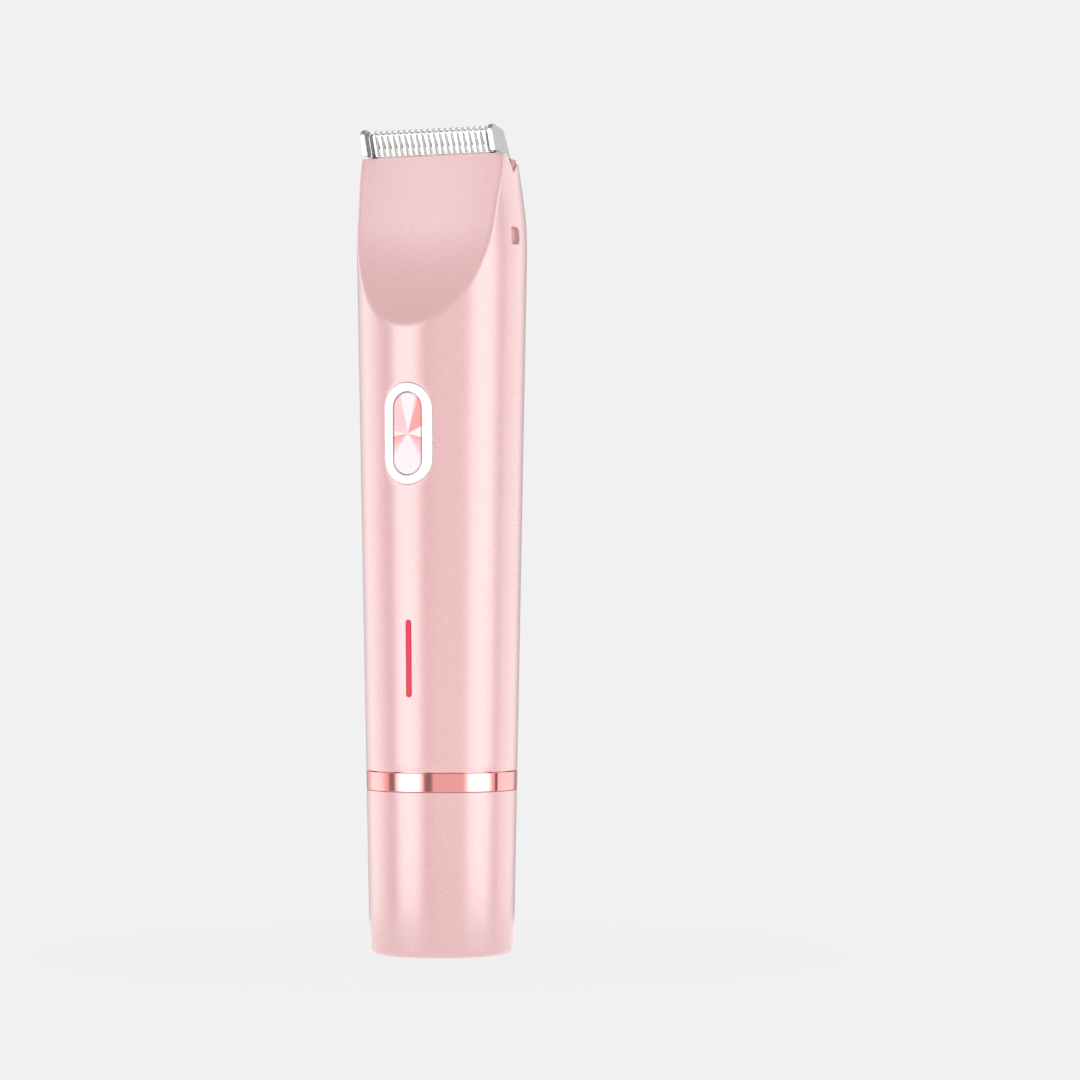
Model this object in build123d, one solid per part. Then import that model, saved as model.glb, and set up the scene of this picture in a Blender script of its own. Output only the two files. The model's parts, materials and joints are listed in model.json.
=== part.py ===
from build123d import *
import os

# A rechargeable two-headed body trimmer. Millimetres. The origin is the centre of the cap's closed end,
# which the trimmer stands on, +Z runs up the body to the comb, and -Y is the button side.

# Outer form: a cone that leaves its straight line near the comb
BASE_RADIUS = 14.1
TAPER = 0.0189
SIDE_BEND = (137.0, 0.034, 1.3)
REAR_BEND = (141.5, 0.143, 1.5)
FRONT_BEND = (146.0, -0.25, 1.7)
HEAD_FOOT, FORM_TOP, FORM_STEPS = 134.0, 158.0, 8
QUARTER_ARC = 0.5523
WALL = 1.5

# Heights of the main joints between the outer pieces
CAP_TOP = 31.95
RING_LOW, RING_TOP = 32.0, 35.65
SHELL_LOW = 35.8
DECK_LOW, DECK_HIGH = 142.3, 143.8
SHELL_TOP = 155.9

# Scooped front: an arc below, then a straight face up to the comb
SCOOP_FOOT = (-16.55, 121.6)
SCOOP_JOIN = (-8.6, 142.0)
SCOOP_LEAN = 0.241
SCOOP_WALL = 1.6

# Pocket in the head for the comb cartridge
POCKET_SIDE, POCKET_REAR, POCKET_FRONT = 14.6, 9.6, 4.15
CARTRIDGE_GAP = 0.15

# Front features
LIGHT_LENGTH, LIGHT_WIDTH, LIGHT_Z = 14.9, 1.15, 57.75
BEZEL_LENGTH, BEZEL_WIDTH, BUTTON_Z = 19.6, 10.0, 101.1
BUTTON_LENGTH, BUTTON_WIDTH = 16.0, 6.0
BUTTON_FACE = -15.75
STEM_OVAL = (1.81, 1.8)
BEZEL_PROUD = 0.25

# Side pockets that a clip-on comb guide grips
GRIP_LOW, GRIP_HIGH, GRIP_DEEP = 138.1, 141.45, 15.45
GRIP_FRONT, GRIP_REAR = -3.1, 0.0

# Rear charging port
PORT_Z = 61.2
PORT_LENGTH, PORT_HEIGHT, PORT_RECESS = 11.8, 5.8, 0.9
SOCKET_LENGTH, SOCKET_HEIGHT = 8.94, 3.26

# Round shaver head
NECK_RADIUS = 12.25
SPIGOT_RADIUS = 11.12
HEAD_LOW, HEAD_HIGH = 16.4, 30.65
FOIL_FACE, FOIL_RADIUS, FOIL_THICK = 14.8, 9.65, 0.15
FOIL_SLOTS = 90
CUTTER_ARMS = 12

# Comb trimmer
TOOTH_PITCH = 1.253
TOOTH_GAPS = 21
GAP_WIDTH = 0.75
FRONT_ROOT, REAR_ROOT = 156.15, 157.2
BLADE_GAP, BLADE_ROOT = 0.7, 157.5
COMB_HALF = 13.15
GUARD_THICK = 1.0
BLADE_HALF = 12.05
COMB_FOOT = 156.05
BRIM_TOP, BRIM_INSET, BRIM_GAP = 154.85, 0.4, 0.04

# Drives
SHAFT_RADIUS = 1.0
RUNNING = 0.06
THROW = 1.0
STROKE = 1.0
BOARD_FRONT, BOARD_BACK, BOARD_HALF = -11.0, -10.0, 7.2
BATTERY_RADIUS, BATTERY_LENGTH, BATTERY_LOW, BATTERY_Y = 7.0, 50.0, 65.5, 3.0

FAR = 40.0


def disc(radius, low, high, x=0.0, y=0.0):
    """Upright cylinder between two heights."""
    return Pos(x, y, low) * Cylinder(radius, high - low, align=(Align.CENTER, Align.CENTER, Align.MIN))


def tube(outer, inner, low, high):
    return disc(outer, low, high) - disc(inner, low, high)


def block(x_low, x_high, y_low, y_high, z_low, z_high):
    """Box between two corners."""
    size = (x_high - x_low, y_high - y_low, z_high - z_low)
    return Pos(x_low, y_low, z_low) * Box(*size, align=(Align.MIN, Align.MIN, Align.MIN))


def turned(*points):
    """Solid turned about Z from a closed outline of (radius, height) points."""
    return revolve(Plane.XZ * make_face(Polyline(*points, close=True)), Axis.Z)


def across(face, half, centre=0.0):
    """Solid of a (y, z) outline carried along X to half each side of centre."""
    return Pos(centre, 0, 0) * extrude(Plane.YZ * face, half, both=True)


def outline(*points):
    return make_face(Polyline(*points, close=True))


def rounded_outline(points, radii):
    """Closed (y, z) outline whose corners are rounded by the radii given, where 0 stays sharp."""
    face = outline(*points)
    for point, radius in zip(points, radii):
        if radius > 0:
            corner = face.vertices().sort_by_distance((point[0], point[1], 0))[0]
            face = fillet(corner, radius)
    return face


def oval_bar(length, width, y_low, y_high, z, upright=True):
    """Round-ended bar that runs along Y, with its long side upright or level."""
    turn = 90 if upright else 0
    plane = Plane.XZ.offset(-y_high)
    return extrude(plane * Pos(0, z) * SlotOverall(length, width, rotation=turn), y_high - y_low)


def round_ring(major, minor, z):
    return Pos(0, 0, z) * Torus(major, minor)


def around(part, count):
    """Copies of a part, evenly spaced about Z."""
    return [Rot(0, 0, 360 * i / count) * part for i in range(count)]


def cone_radius(z):
    return BASE_RADIUS + TAPER * z


def bend(z, start, rate, power):
    """How far a wall has come in from the cone at height z."""
    return rate * max(z - start, 0.0) ** power


def quarter(start, end, corner):
    """Quarter of an ellipse from start to end, inside their common corner."""
    start, end, corner = Vector(*start), Vector(*end), Vector(*corner)
    return Bezier(start, start + (corner - start) * QUARTER_ARC, end + (corner - end) * QUARTER_ARC, end)


def form_section(z, wall):
    """Level section of the outer form, inset by a wall."""
    side = cone_radius(z) - bend(z, *SIDE_BEND) - wall
    rear = cone_radius(z) - bend(z, *REAR_BEND) - wall
    front = cone_radius(z) - bend(z, *FRONT_BEND) - wall
    stops = [(side, 0, z), (0, rear, z), (-side, 0, z), (0, -front, z)]
    corners = [(side, rear, z), (-side, rear, z), (-side, -front, z), (side, -front, z)]
    arcs = [quarter(stops[i], stops[(i + 1) % 4], corners[i]) for i in range(4)]
    return make_face(arcs)


def body_form(low, high, wall):
    """Outer form, or its inset, between two heights."""
    straight = min(high, HEAD_FOOT)
    form = loft([form_section(low, wall), form_section(straight, wall)], ruled=True)
    if high > HEAD_FOOT:
        step = (high - HEAD_FOOT) / FORM_STEPS
        form += loft([form_section(HEAD_FOOT + i * step, wall) for i in range(FORM_STEPS + 1)])
    return form


def scoop_cut(shift):
    """Everything in front of the scooped face, moved back by shift."""
    foot = (SCOOP_FOOT[0] + shift, SCOOP_FOOT[1])
    join = (SCOOP_JOIN[0] + shift, SCOOP_JOIN[1])
    crest = (join[0] + SCOOP_LEAN * FAR, join[1] + FAR)
    curve = TangentArc(join, foot, tangent=(-SCOOP_LEAN, -1))
    frame = Polyline(foot, (-FAR, foot[1]), (-FAR, crest[1]), crest, join)
    return across(make_face([curve, frame]), FAR)


def above_rim(rise):
    """Everything above the head's rim, with its V notch at each side, raised by a gap."""
    rim = [
        (-FAR, SHELL_TOP),
        (-3.4, SHELL_TOP - 0.15),
        (-2.3, 154.5),
        (-1.0, 152.15),
        (1.5, 154.1),
        (FAR, 154.3),
        (FAR, 200),
        (-FAR, 200),
    ]
    return Pos(0, 0, rise) * across(rounded_outline(rim, (0, 0.6, 0, 0.25, 0.5, 0, 0, 0)), FAR)


def pocket_outline(gap):
    """Level outline of the cartridge pocket, less a gap: straight in front, half an ellipse behind."""
    side, rear, front = POCKET_SIDE - gap, POCKET_REAR - gap, POCKET_FRONT - gap
    back = Ellipse(side, rear) & Pos(0, FAR / 2) * Rectangle(2 * FAR, FAR)
    return back + Pos(0, -front / 2) * Rectangle(2 * side, front)


def grip_cut(side):
    """Blind D-shaped pocket in one side of the head."""
    middle = ((GRIP_FRONT + GRIP_REAR) / 2, (GRIP_LOW + GRIP_HIGH) / 2)
    face = Pos(*middle) * Rectangle(GRIP_REAR - GRIP_FRONT, GRIP_HIGH - GRIP_LOW)
    face = fillet(face.vertices().sort_by(Axis.X)[-2:], 1.2)
    return Pos(side * (GRIP_DEEP + 5), 0, 0) * extrude(Plane.YZ * face, 5, both=True)


def port_cut():
    """Recess for the port plug and the opening of the charging socket."""
    recess = oval_bar(PORT_LENGTH, PORT_HEIGHT, 5, FAR, PORT_Z, upright=False)
    recess -= body_form(SHELL_LOW, 100, PORT_RECESS)
    mouth = oval_bar(SOCKET_LENGTH + 0.4, SOCKET_HEIGHT + 0.4, 5, FAR, PORT_Z, upright=False)
    return recess + mouth


def make_main_shell(outer, inside):
    shell = outer - inside
    shell -= extrude(Pos(0, 0, DECK_HIGH) * pocket_outline(0), FAR)
    shell -= above_rim(0)
    shell -= extrude(Pos(0, 0, DECK_LOW - 1) * SlotOverall(5.8, 3.8), 3)
    shell -= oval_bar(LIGHT_LENGTH, LIGHT_WIDTH, -FAR, -5, LIGHT_Z)
    shell -= oval_bar(BEZEL_LENGTH + 0.1, BEZEL_WIDTH + 0.1, -FAR, -5, BUTTON_Z)
    shell -= port_cut()
    for side in (1, -1):
        shell -= grip_cut(side)
    return shell


def make_accent_ring():
    return turned(
        (cone_radius(RING_LOW), RING_LOW),
        (cone_radius(RING_TOP), RING_TOP),
        (13.2, RING_TOP),
        (13.2, 38.5),
        (12.55, 38.5),
        (12.55, 35.8),
        (12.35, 35.8),
        (12.35, 34.7),
        (13.75, 34.7),
        (13.75, RING_LOW),
    )


def make_cap():
    """Cap with a lip that goes up inside the ring, and grip ribs beside the shaver head."""
    inner, lip, floor = 13.0, 13.67, 2.0
    body = turned((0, 0), (BASE_RADIUS, 0), (cone_radius(CAP_TOP), CAP_TOP), (0, CAP_TOP))
    body = fillet(body.edges().sort_by(Axis.Z)[0], 1.0)
    hollow = disc(inner, floor, FAR)
    hollow = fillet(hollow.edges().sort_by(Axis.Z)[0], 1.0)
    body = body + disc(lip, CAP_TOP - 1, 34.45) - hollow
    rib = block(12.86, inner + 0.2, -0.6, 0.6, 24, 31)
    return body + around(rib, 6)


def make_neck_collar():
    """Neck that closes the tube, carries the motor and plugs into the shaver head."""
    neck = turned(
        (8.5, 24),
        (SPIGOT_RADIUS, 24),
        (SPIGOT_RADIUS, 27),
        (10.3, 27),
        (10.3, 28),
        (SPIGOT_RADIUS, 28),
        (SPIGOT_RADIUS, 30.7),
        (NECK_RADIUS, 30.7),
        (NECK_RADIUS, 33.9),
        (12.9, 33.9),
        (12.9, 34.6),
        (NECK_RADIUS, 34.6),
        (NECK_RADIUS, 36.7),
        (11.6, 36.7),
        (11.6, 37.7),
        (NECK_RADIUS, 37.7),
        (NECK_RADIUS, 40),
        (11.0, 40),
        (11.0, 36.6),
        (3.05, 36.6),
        (3.05, 34.7),
        (3.25, 34.7),
        (3.25, 33.5),
        (8.5, 33.5),
    )
    return neck - screw_shanks(5.5, 0.82, 33, 37)


def screw_shanks(offset, radius, low, high):
    return disc(radius, low, high, x=offset) + disc(radius, low, high, x=-offset)


def screw_pair(offset, shank, head, seat, head_height, tip, y=0.0):
    """Two screws side by side, head on the seat, shank towards the tip."""
    pair = []
    low, high = min(seat, tip), max(seat, tip)
    outward = 1 if seat > tip else -1
    top = seat + outward * head_height
    for x in (-offset, offset):
        body = disc(shank, low, high, x, y) + disc(head, min(seat, top), max(seat, top), x, y)
        cross = 0.3 * head_height
        groove = Pos(x, y, top) * Box(1.5 * head, 0.25 * head, 2 * cross)
        pair.append(body - groove - Pos(x, y, top) * Box(0.25 * head, 1.5 * head, 2 * cross))
    return Compound(pair)


def make_head_housing():
    """Cup of the shaver head, with a ledge that the foil's flange sits on."""
    cup = turned(
        (NECK_RADIUS + 0.5, HEAD_HIGH),
        (12.3, HEAD_LOW),
        (9.75, HEAD_LOW),
        (9.75, 17.9),
        (11.2, 17.9),
        (11.2, HEAD_HIGH),
    )
    rim = cup.edges().filter_by(GeomType.CIRCLE).sort_by(Axis.Z)[:2].sort_by(SortBy.RADIUS)[-1]
    return fillet(rim, 1.8)


def make_shaver_foil():
    """Thin drawn disc with radial slots that wrap over its edge."""
    flange = 17.95
    face_edge = FOIL_RADIUS - 0.9
    cup = turned(
        (0, FOIL_FACE),
        (face_edge, FOIL_FACE),
        (FOIL_RADIUS - 0.26, FOIL_FACE + 0.26),
        (FOIL_RADIUS, FOIL_FACE + 0.9),
        (FOIL_RADIUS, flange),
        (10.9, flange),
        (10.9, flange + 0.2),
        (FOIL_RADIUS - FOIL_THICK, flange + 0.2),
        (FOIL_RADIUS - FOIL_THICK, FOIL_FACE + 0.95),
        (FOIL_RADIUS - 0.4, FOIL_FACE + 0.4),
        (face_edge, FOIL_FACE + FOIL_THICK),
        (0, FOIL_FACE + FOIL_THICK),
    )
    slot = block(7.3, FOIL_RADIUS + 1, -0.15, 0.15, FOIL_FACE - 1, FOIL_FACE + 1.3)
    return cup - around(slot, FOIL_SLOTS)


def make_cutter_hub():
    hub = disc(9.0, 17.3, 18.5) + disc(3.9, 18.5, 21.0)
    hub -= extrude(Pos(0, 0, 17) * RegularPolygon(2.05, 6), 5)
    return hub - around(disc(1.2, 17, 19, x=6.4), 6)


def make_cutter_blades():
    """Steel ring with upright blades that run just behind the foil's slots."""
    ring = tube(9.2, 6.9, 16.95, 17.3)
    arm = block(7.2, 8.65, -0.18, 0.18, FOIL_FACE + FOIL_THICK + 0.1, 17.0)
    return ring + around(arm, CUTTER_ARMS)


def make_drive_spindle():
    spindle = disc(2.4, 21.2, 33.0) + disc(3.9, 29.5, 30.3) - disc(SHAFT_RADIUS, 26.0, 33.0)
    return spindle + extrude(Pos(0, 0, 17.6) * RegularPolygon(2.0, 6), 3.6)


def make_cutter_spring():
    low, high, coil, wire = 21.35, 29.15, 3.2, 0.28
    path = Pos(0, 0, low) * Helix((high - low) / 5, high - low, coil)
    section = Plane(origin=path @ 0, z_dir=path % 0) * Circle(wire)
    return sweep(section, path, is_frenet=True)


def make_shaver_motor():
    motor = disc(8.0, 36.6, 54.6) + disc(3.0, 34.75, 36.6)
    motor -= disc(SHAFT_RADIUS + RUNNING, 34, 38)
    return motor - screw_shanks(5.5, 0.82, 36, 39.2)


def make_trimmer_motor():
    motor = disc(7.6, 119.8, 134.1) + disc(2.4, 134.1, 135.2)
    motor -= disc(SHAFT_RADIUS + RUNNING, 133, 136)
    return motor - screw_shanks(5.0, 0.82, 131.8, 135)


def motor_end(radius, low, high):
    """Plastic end of a motor with its two terminals."""
    end = disc(radius, low, high)
    for side in (-1, 1):
        end += block(side * 4 - 1, side * 4 + 1, radius - 0.4, radius + 0.8, low + 0.4, low + 0.7)
    return end


def make_chassis():
    """Moulded frame: an open tube with bulkheads at the battery's ends and ribs that hold both motors."""
    low, high, outer, inner = 40.0, 134.0, 12.7, 11.5
    frame = tube(outer, inner, low, high)
    for z in (63.8, 116.7):
        frame += disc(inner + 0.5, z, z + 1.0)
    for rib_low, rib_high, motor in ((43, 54, 8.05), (121, 132, 7.65)):
        rib = block(motor, inner + 0.5, -0.6, 0.6, rib_low, rib_high)
        frame += [Rot(0, 0, 45) * copy for copy in around(rib, 4)]
    frame -= block(-FAR, FAR, -FAR, BOARD_BACK + 0.1, 0, 200)
    frame -= block(-FAR, FAR, -FAR, -8.0, 126, 200)
    frame -= block(-5.2, 5.2, 4, FAR, 58, 63.6)
    return frame - block(-3, 3, -12, -6, 63, 120)


def make_battery():
    high = BATTERY_LOW + BATTERY_LENGTH
    cell = disc(BATTERY_RADIUS, BATTERY_LOW, high, y=BATTERY_Y)
    cell = fillet(cell.edges().filter_by(GeomType.CIRCLE), 0.5)
    return cell + disc(2.6, high, high + 0.8, y=BATTERY_Y)


def make_battery_tabs():
    low = block(-2, 2, BOARD_BACK + 0.05, BATTERY_Y + 2, BATTERY_LOW - 0.2, BATTERY_LOW)
    top = BATTERY_LOW + BATTERY_LENGTH + 0.8
    return Compound([low, block(-2, 2, BOARD_BACK + 0.05, BATTERY_Y + 2, top, top + 0.2)])


def make_main_board():
    board = block(-BOARD_HALF, BOARD_HALF, BOARD_FRONT, BOARD_BACK, 44, 126)
    return fillet(board.edges().filter_by(Axis.Y), 1.0)


def make_board_components():
    """Charger, controller, inductor and small parts on the back of the board."""
    places = [
        (3.5, 70, 2.0, 2.0),
        (-3.6, 72, 1.5, 1.5),
        (-3.2, 88, 2.0, 2.5),
        (4.6, 90, 1.2, 0.8),
        (4.6, 95, 1.2, 0.8),
    ]
    chips = [block(x - w, x + w, BOARD_BACK, BOARD_BACK + 1.0, z - h, z + h) for x, z, w, h in places]
    return Compound(chips)


def make_indicator_leds():
    led = block(-0.8, 0.8, BOARD_FRONT - 0.8, BOARD_FRONT, -0.4, 0.4)
    return Compound([Pos(0, 0, LIGHT_Z + step * 4.75) * led for step in (-1, 0, 1)])


def make_light_guide(outer, inside):
    bar = oval_bar(LIGHT_LENGTH - 0.06, LIGHT_WIDTH - 0.06, -FAR, -12.6, LIGHT_Z) & outer
    flange = oval_bar(LIGHT_LENGTH + 2, LIGHT_WIDTH + 2, -13.3, -12.5, LIGHT_Z)
    return bar + (flange & inside)


def make_button_bezel(proud, inside):
    """White surround: a curved oval that stands slightly proud, with a flange behind the shell's wall."""
    rim = oval_bar(BEZEL_LENGTH, BEZEL_WIDTH, -FAR, -13.1, BUTTON_Z) & proud
    flange = oval_bar(BEZEL_LENGTH + 2, BEZEL_WIDTH + 2, -13.1, -12.5, BUTTON_Z) & inside
    bezel = rim + flange
    bezel -= oval_bar(BUTTON_LENGTH + 0.2, BUTTON_WIDTH + 0.2, -FAR, 0, BUTTON_Z)
    return bezel - oval_bar(BUTTON_LENGTH + 1.8, BUTTON_WIDTH + 1.8, -14.6, 0, BUTTON_Z)


def make_button_gasket(inside):
    ring = oval_bar(BEZEL_LENGTH + 2, BEZEL_WIDTH + 2, -FAR, -13.1, BUTTON_Z)
    ring -= oval_bar(BEZEL_LENGTH + 0.1, BEZEL_WIDTH + 0.1, -FAR, 0, BUTTON_Z)
    return (ring & inside).solids().sort_by(SortBy.VOLUME)[-1]


def make_power_button():
    key = oval_bar(BUTTON_LENGTH, BUTTON_WIDTH, BUTTON_FACE, -14.0, BUTTON_Z)
    key = fillet(key.edges().group_by(Axis.Y)[0], 0.25)
    flange = oval_bar(BUTTON_LENGTH + 1.4, BUTTON_WIDTH + 1.4, -14.45, -13.8, BUTTON_Z)
    return key + flange + oval_bar(*STEM_OVAL, -13.9, -12.65, BUTTON_Z)


def make_tact_switch():
    body = block(-2.25, 2.25, BOARD_FRONT - 1.1, BOARD_FRONT, BUTTON_Z - 2.25, BUTTON_Z + 2.25)
    return body - oval_bar(2.01, 2.0, -12.2, BOARD_FRONT - 0.1, BUTTON_Z)


def make_usb_socket():
    socket = oval_bar(SOCKET_LENGTH, SOCKET_HEIGHT, 6.6, 13.4, PORT_Z, upright=False)
    socket -= oval_bar(SOCKET_LENGTH - 0.6, SOCKET_HEIGHT - 0.6, 7.4, 14, PORT_Z, upright=False)
    return socket + block(-3.3, 3.3, 7.2, 12.4, PORT_Z - 0.35, PORT_Z + 0.35)


def make_port_plug(outer):
    """Soft cover over the charging port, with a hollow tongue that fills the socket's mouth."""
    lid = oval_bar(PORT_LENGTH - 0.1, PORT_HEIGHT - 0.1, 5, FAR, PORT_Z, upright=False) & outer
    lid -= body_form(SHELL_LOW, 100, PORT_RECESS - 0.03)
    reach = cone_radius(PORT_Z) - PORT_RECESS + 0.1
    tongue = oval_bar(SOCKET_LENGTH - 0.8, SOCKET_HEIGHT - 0.8, 10.9, reach, PORT_Z, upright=False)
    tongue -= oval_bar(SOCKET_LENGTH - 1.9, SOCKET_HEIGHT - 1.9, 10, 14, PORT_Z, upright=False)
    return lid + tongue


def make_motor_bracket():
    """Plate over the trimmer motor with two rails that guide the oscillator."""
    plate = disc(12.6, 134.1, 135.1) - disc(2.45, 134, 136) - screw_shanks(5.0, 0.82, 134, 136)
    plate -= block(-FAR, FAR, -FAR, -8.2, 134, 136)
    for low, high in ((-5.5, -4.3), (4.3, 5.5)):
        plate += block(-8.5, 8.5, low, high, 135.1, 141.5)
    return plate


def make_eccentric_cam():
    cam = disc(3.2, 135.7, 137.2) - disc(SHAFT_RADIUS, 135, 138)
    return cam + disc(0.8, 137.2, 139.9, y=-THROW)


def make_oscillator():
    """Slider with a wide slot for the cam's pin, a bridge over it and the stem that drives the blade."""
    reach = 0.8 + THROW + 0.15
    plate = block(-6, 6, -4.2, 4.2, 138.0, 139.6)
    plate -= block(-reach - STROKE, reach + STROKE, -reach, reach, 137, 140)
    for side in (-1, 1):
        plate += block(side * 5.3 - 0.7, side * 5.3 + 0.7, -4.2, 4.2, 139.6, 140.2)
    plate += block(-6, 6, -2.5, 2.5, 140.2, 141.3)
    return plate + disc(1.5, 141.3, 145.5) + disc(1.0, 145.5, 149.5)


def make_stem_seal():
    ring = SlotOverall(10, 7) - SlotOverall(5.4, 3.4)
    return extrude(Pos(0, 0, DECK_HIGH) * ring, 1.0)


def make_cartridge_base():
    """Block that drops into the head, with a brim over the rear rim and a raised step for the comb."""
    base = extrude(Pos(0, 0, 145.2) * pocket_outline(CARTRIDGE_GAP), BRIM_TOP - 145.2)
    rear = block(-FAR, FAR, -0.9, FAR, 151, BRIM_TOP)
    base += body_form(151, BRIM_TOP, BRIM_INSET) & above_rim(BRIM_GAP) & rear
    base += block(-13.1, 13.1, -4.0, 2.7, 150, 155.95)
    base -= block(-13.12, 13.12, -5, -2.3, 154.7, 157)
    base -= block(-4.4, 4.4, -2.7, 2.7, 145, 151.7)
    base -= block(-10.9, 10.9, -3.2, 0.6, 151.1, 157)
    return base - screw_holes(8.0, 0.47, 152.9, 157, 1.75)


def screw_holes(offset, radius, low, high, y):
    return disc(radius, low, high, offset, y) + disc(radius, low, high, -offset, y)


def make_comb():
    """Bent steel sheet over the blade, slotted into teeth from its front foot over the top to its back."""
    outside = [(-4.8, COMB_FOOT), (-6.95, 161.2), (-2.1, 160.8), (1.15, COMB_FOOT)]
    hollow = [(-4.2, 155), (-6.2, 160.5), (-2.6, 160.1), (0.9, 155)]
    comb = across(rounded_outline(outside, (0, 1.3, 1.0, 0)), COMB_HALF)
    comb -= across(rounded_outline(hollow, (0, 0.8, 0.6, 0)), COMB_HALF + 1)
    comb += block(-13.1, 13.1, 0.5, 2.7, 155.95, 156.35)
    comb -= screw_holes(8.0, 0.47, 155, 157, 1.75)
    middle = (TOOTH_GAPS - 1) / 2
    gap = block(-GAP_WIDTH / 2, GAP_WIDTH / 2, -9, -3, FRONT_ROOT, 162)
    gap += block(-GAP_WIDTH / 2, GAP_WIDTH / 2, -4, 2, REAR_ROOT, 162)
    return comb - [Pos((i - middle) * TOOTH_PITCH, 0, 0) * gap for i in range(TOOTH_GAPS)]


def make_comb_guards():
    profile = rounded_outline(
        [
            (-6.4, COMB_FOOT),
            (-8.5, 161.5),
            (-2.1, 160.4),
            (1.4, 155.4),
            (1.4, 154.95),
            (-3.9, 154.95),
            (-3.9, COMB_FOOT),
        ],
        (0, 1.3, 1.0, 0, 0, 0, 0),
    )
    offset = COMB_HALF + 0.01 + GUARD_THICK / 2
    return Compound([across(profile, GUARD_THICK / 2, side * offset) for side in (-1, 1)])


def make_ceramic_blade():
    """Flat white blade that leans with the comb's front, with its own teeth at the top."""
    profile = outline((-3.76, 155.0), (-5.7, 159.75), (-4.87, 159.75), (-3.1, 155.0))
    plate = across(profile, BLADE_HALF)
    middle = (TOOTH_GAPS - 1) / 2
    gap = block(-BLADE_GAP / 2, BLADE_GAP / 2, -9, 0, BLADE_ROOT, 162)
    steps = [(i - middle) * TOOTH_PITCH for i in range(1, TOOTH_GAPS - 1)]
    return plate - [Pos(x, 0, 0) * gap for x in steps]


def make_blade_carrier():
    yoke = block(-3, 3, -2.2, 2.2, 146.4, 151.4)
    yoke -= block(-SHAFT_RADIUS - RUNNING, SHAFT_RADIUS + RUNNING, -1.6, 1.6, 146, 150)
    return yoke + block(-9.5, 9.5, -2.95, -1.7, 151.3, 157.4)


def make_blade_spring():
    """Bowed leaf behind the carrier."""
    bow = ThreePointArc((-6, 0.4), (0, -1.3), (6, 0.4))
    back = ThreePointArc((6, 0.58), (0, -1.1), (-6, 0.58))
    face = make_face([bow, Line((6, 0.4), (6, 0.58)), back, Line((-6, 0.58), (-6, 0.4))])
    return extrude(Pos(0, 0, 152.5) * face, 2.0)


def build_parts():
    outer = body_form(SHELL_LOW, FORM_TOP, 0)
    proud = body_form(SHELL_LOW, FORM_TOP, -BEZEL_PROUD)
    inside = body_form(SHELL_LOW, DECK_LOW, WALL) - scoop_cut(SCOOP_WALL)
    snug = body_form(SHELL_LOW, DECK_LOW, WALL + 0.02) - scoop_cut(SCOOP_WALL)
    return {
        "main_shell": make_main_shell(outer - scoop_cut(0), inside),
        "accent_ring": make_accent_ring(),
        "cap": make_cap(),
        "neck_collar": make_neck_collar(),
        "collar_o_ring": round_ring(12.08, 0.45, 37.2),
        "head_o_ring": round_ring(10.72, 0.4, 27.5),
        "motor_screws": screw_pair(5.5, 0.8, 1.3, 33.5, 1.0, 39.0),
        "head_housing": make_head_housing(),
        "shaver_foil": make_shaver_foil(),
        "foil_retainer": tube(11.15, 9.8, 18.2, 20.2),
        "cutter_hub": make_cutter_hub(),
        "cutter_blades": make_cutter_blades(),
        "cutter_spring": make_cutter_spring(),
        "drive_spindle": make_drive_spindle(),
        "shaver_shaft": disc(SHAFT_RADIUS, 26.0, 37.8),
        "shaft_seal": tube(3.2, SHAFT_RADIUS + RUNNING, 33.55, 34.65),
        "shaver_motor": make_shaver_motor(),
        "shaver_motor_cap": motor_end(7.9, 54.6, 56.4),
        "chassis": make_chassis(),
        "battery": make_battery(),
        "battery_tabs": make_battery_tabs(),
        "main_board": make_main_board(),
        "board_components": make_board_components(),
        "indicator_leds": make_indicator_leds(),
        "light_guide": make_light_guide(outer, snug),
        "button_bezel": make_button_bezel(proud, snug),
        "button_gasket": make_button_gasket(snug),
        "power_button": make_power_button(),
        "switch_plunger": oval_bar(*STEM_OVAL, -12.64, -11.75, BUTTON_Z),
        "tact_switch": make_tact_switch(),
        "port_board": block(-6, 6, 5.5, 6.5, 59.0, 63.4),
        "usb_socket": make_usb_socket(),
        "port_plug": make_port_plug(outer),
        "trimmer_motor": make_trimmer_motor(),
        "trimmer_motor_cap": motor_end(7.5, 118.0, 119.8),
        "motor_bracket": make_motor_bracket(),
        "bracket_screws": screw_pair(5.0, 0.8, 1.4, 135.1, 1.0, 132.0),
        "trimmer_shaft": disc(SHAFT_RADIUS, 133.2, 137.2),
        "eccentric_cam": make_eccentric_cam(),
        "oscillator": make_oscillator(),
        "stem_seal": make_stem_seal(),
        "cartridge_base": make_cartridge_base(),
        "comb": make_comb(),
        "comb_guards": make_comb_guards(),
        "ceramic_blade": make_ceramic_blade(),
        "blade_carrier": make_blade_carrier(),
        "blade_spring": make_blade_spring(),
        "cartridge_screws": screw_pair(8.0, 0.45, 0.85, 156.35, 0.5, 153.0, y=1.75),
    }


os.makedirs("parts", exist_ok=True)
for node, solid in build_parts().items():
    export_step(solid, f"parts/{node}.step")
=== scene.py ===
import json
import math

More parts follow.
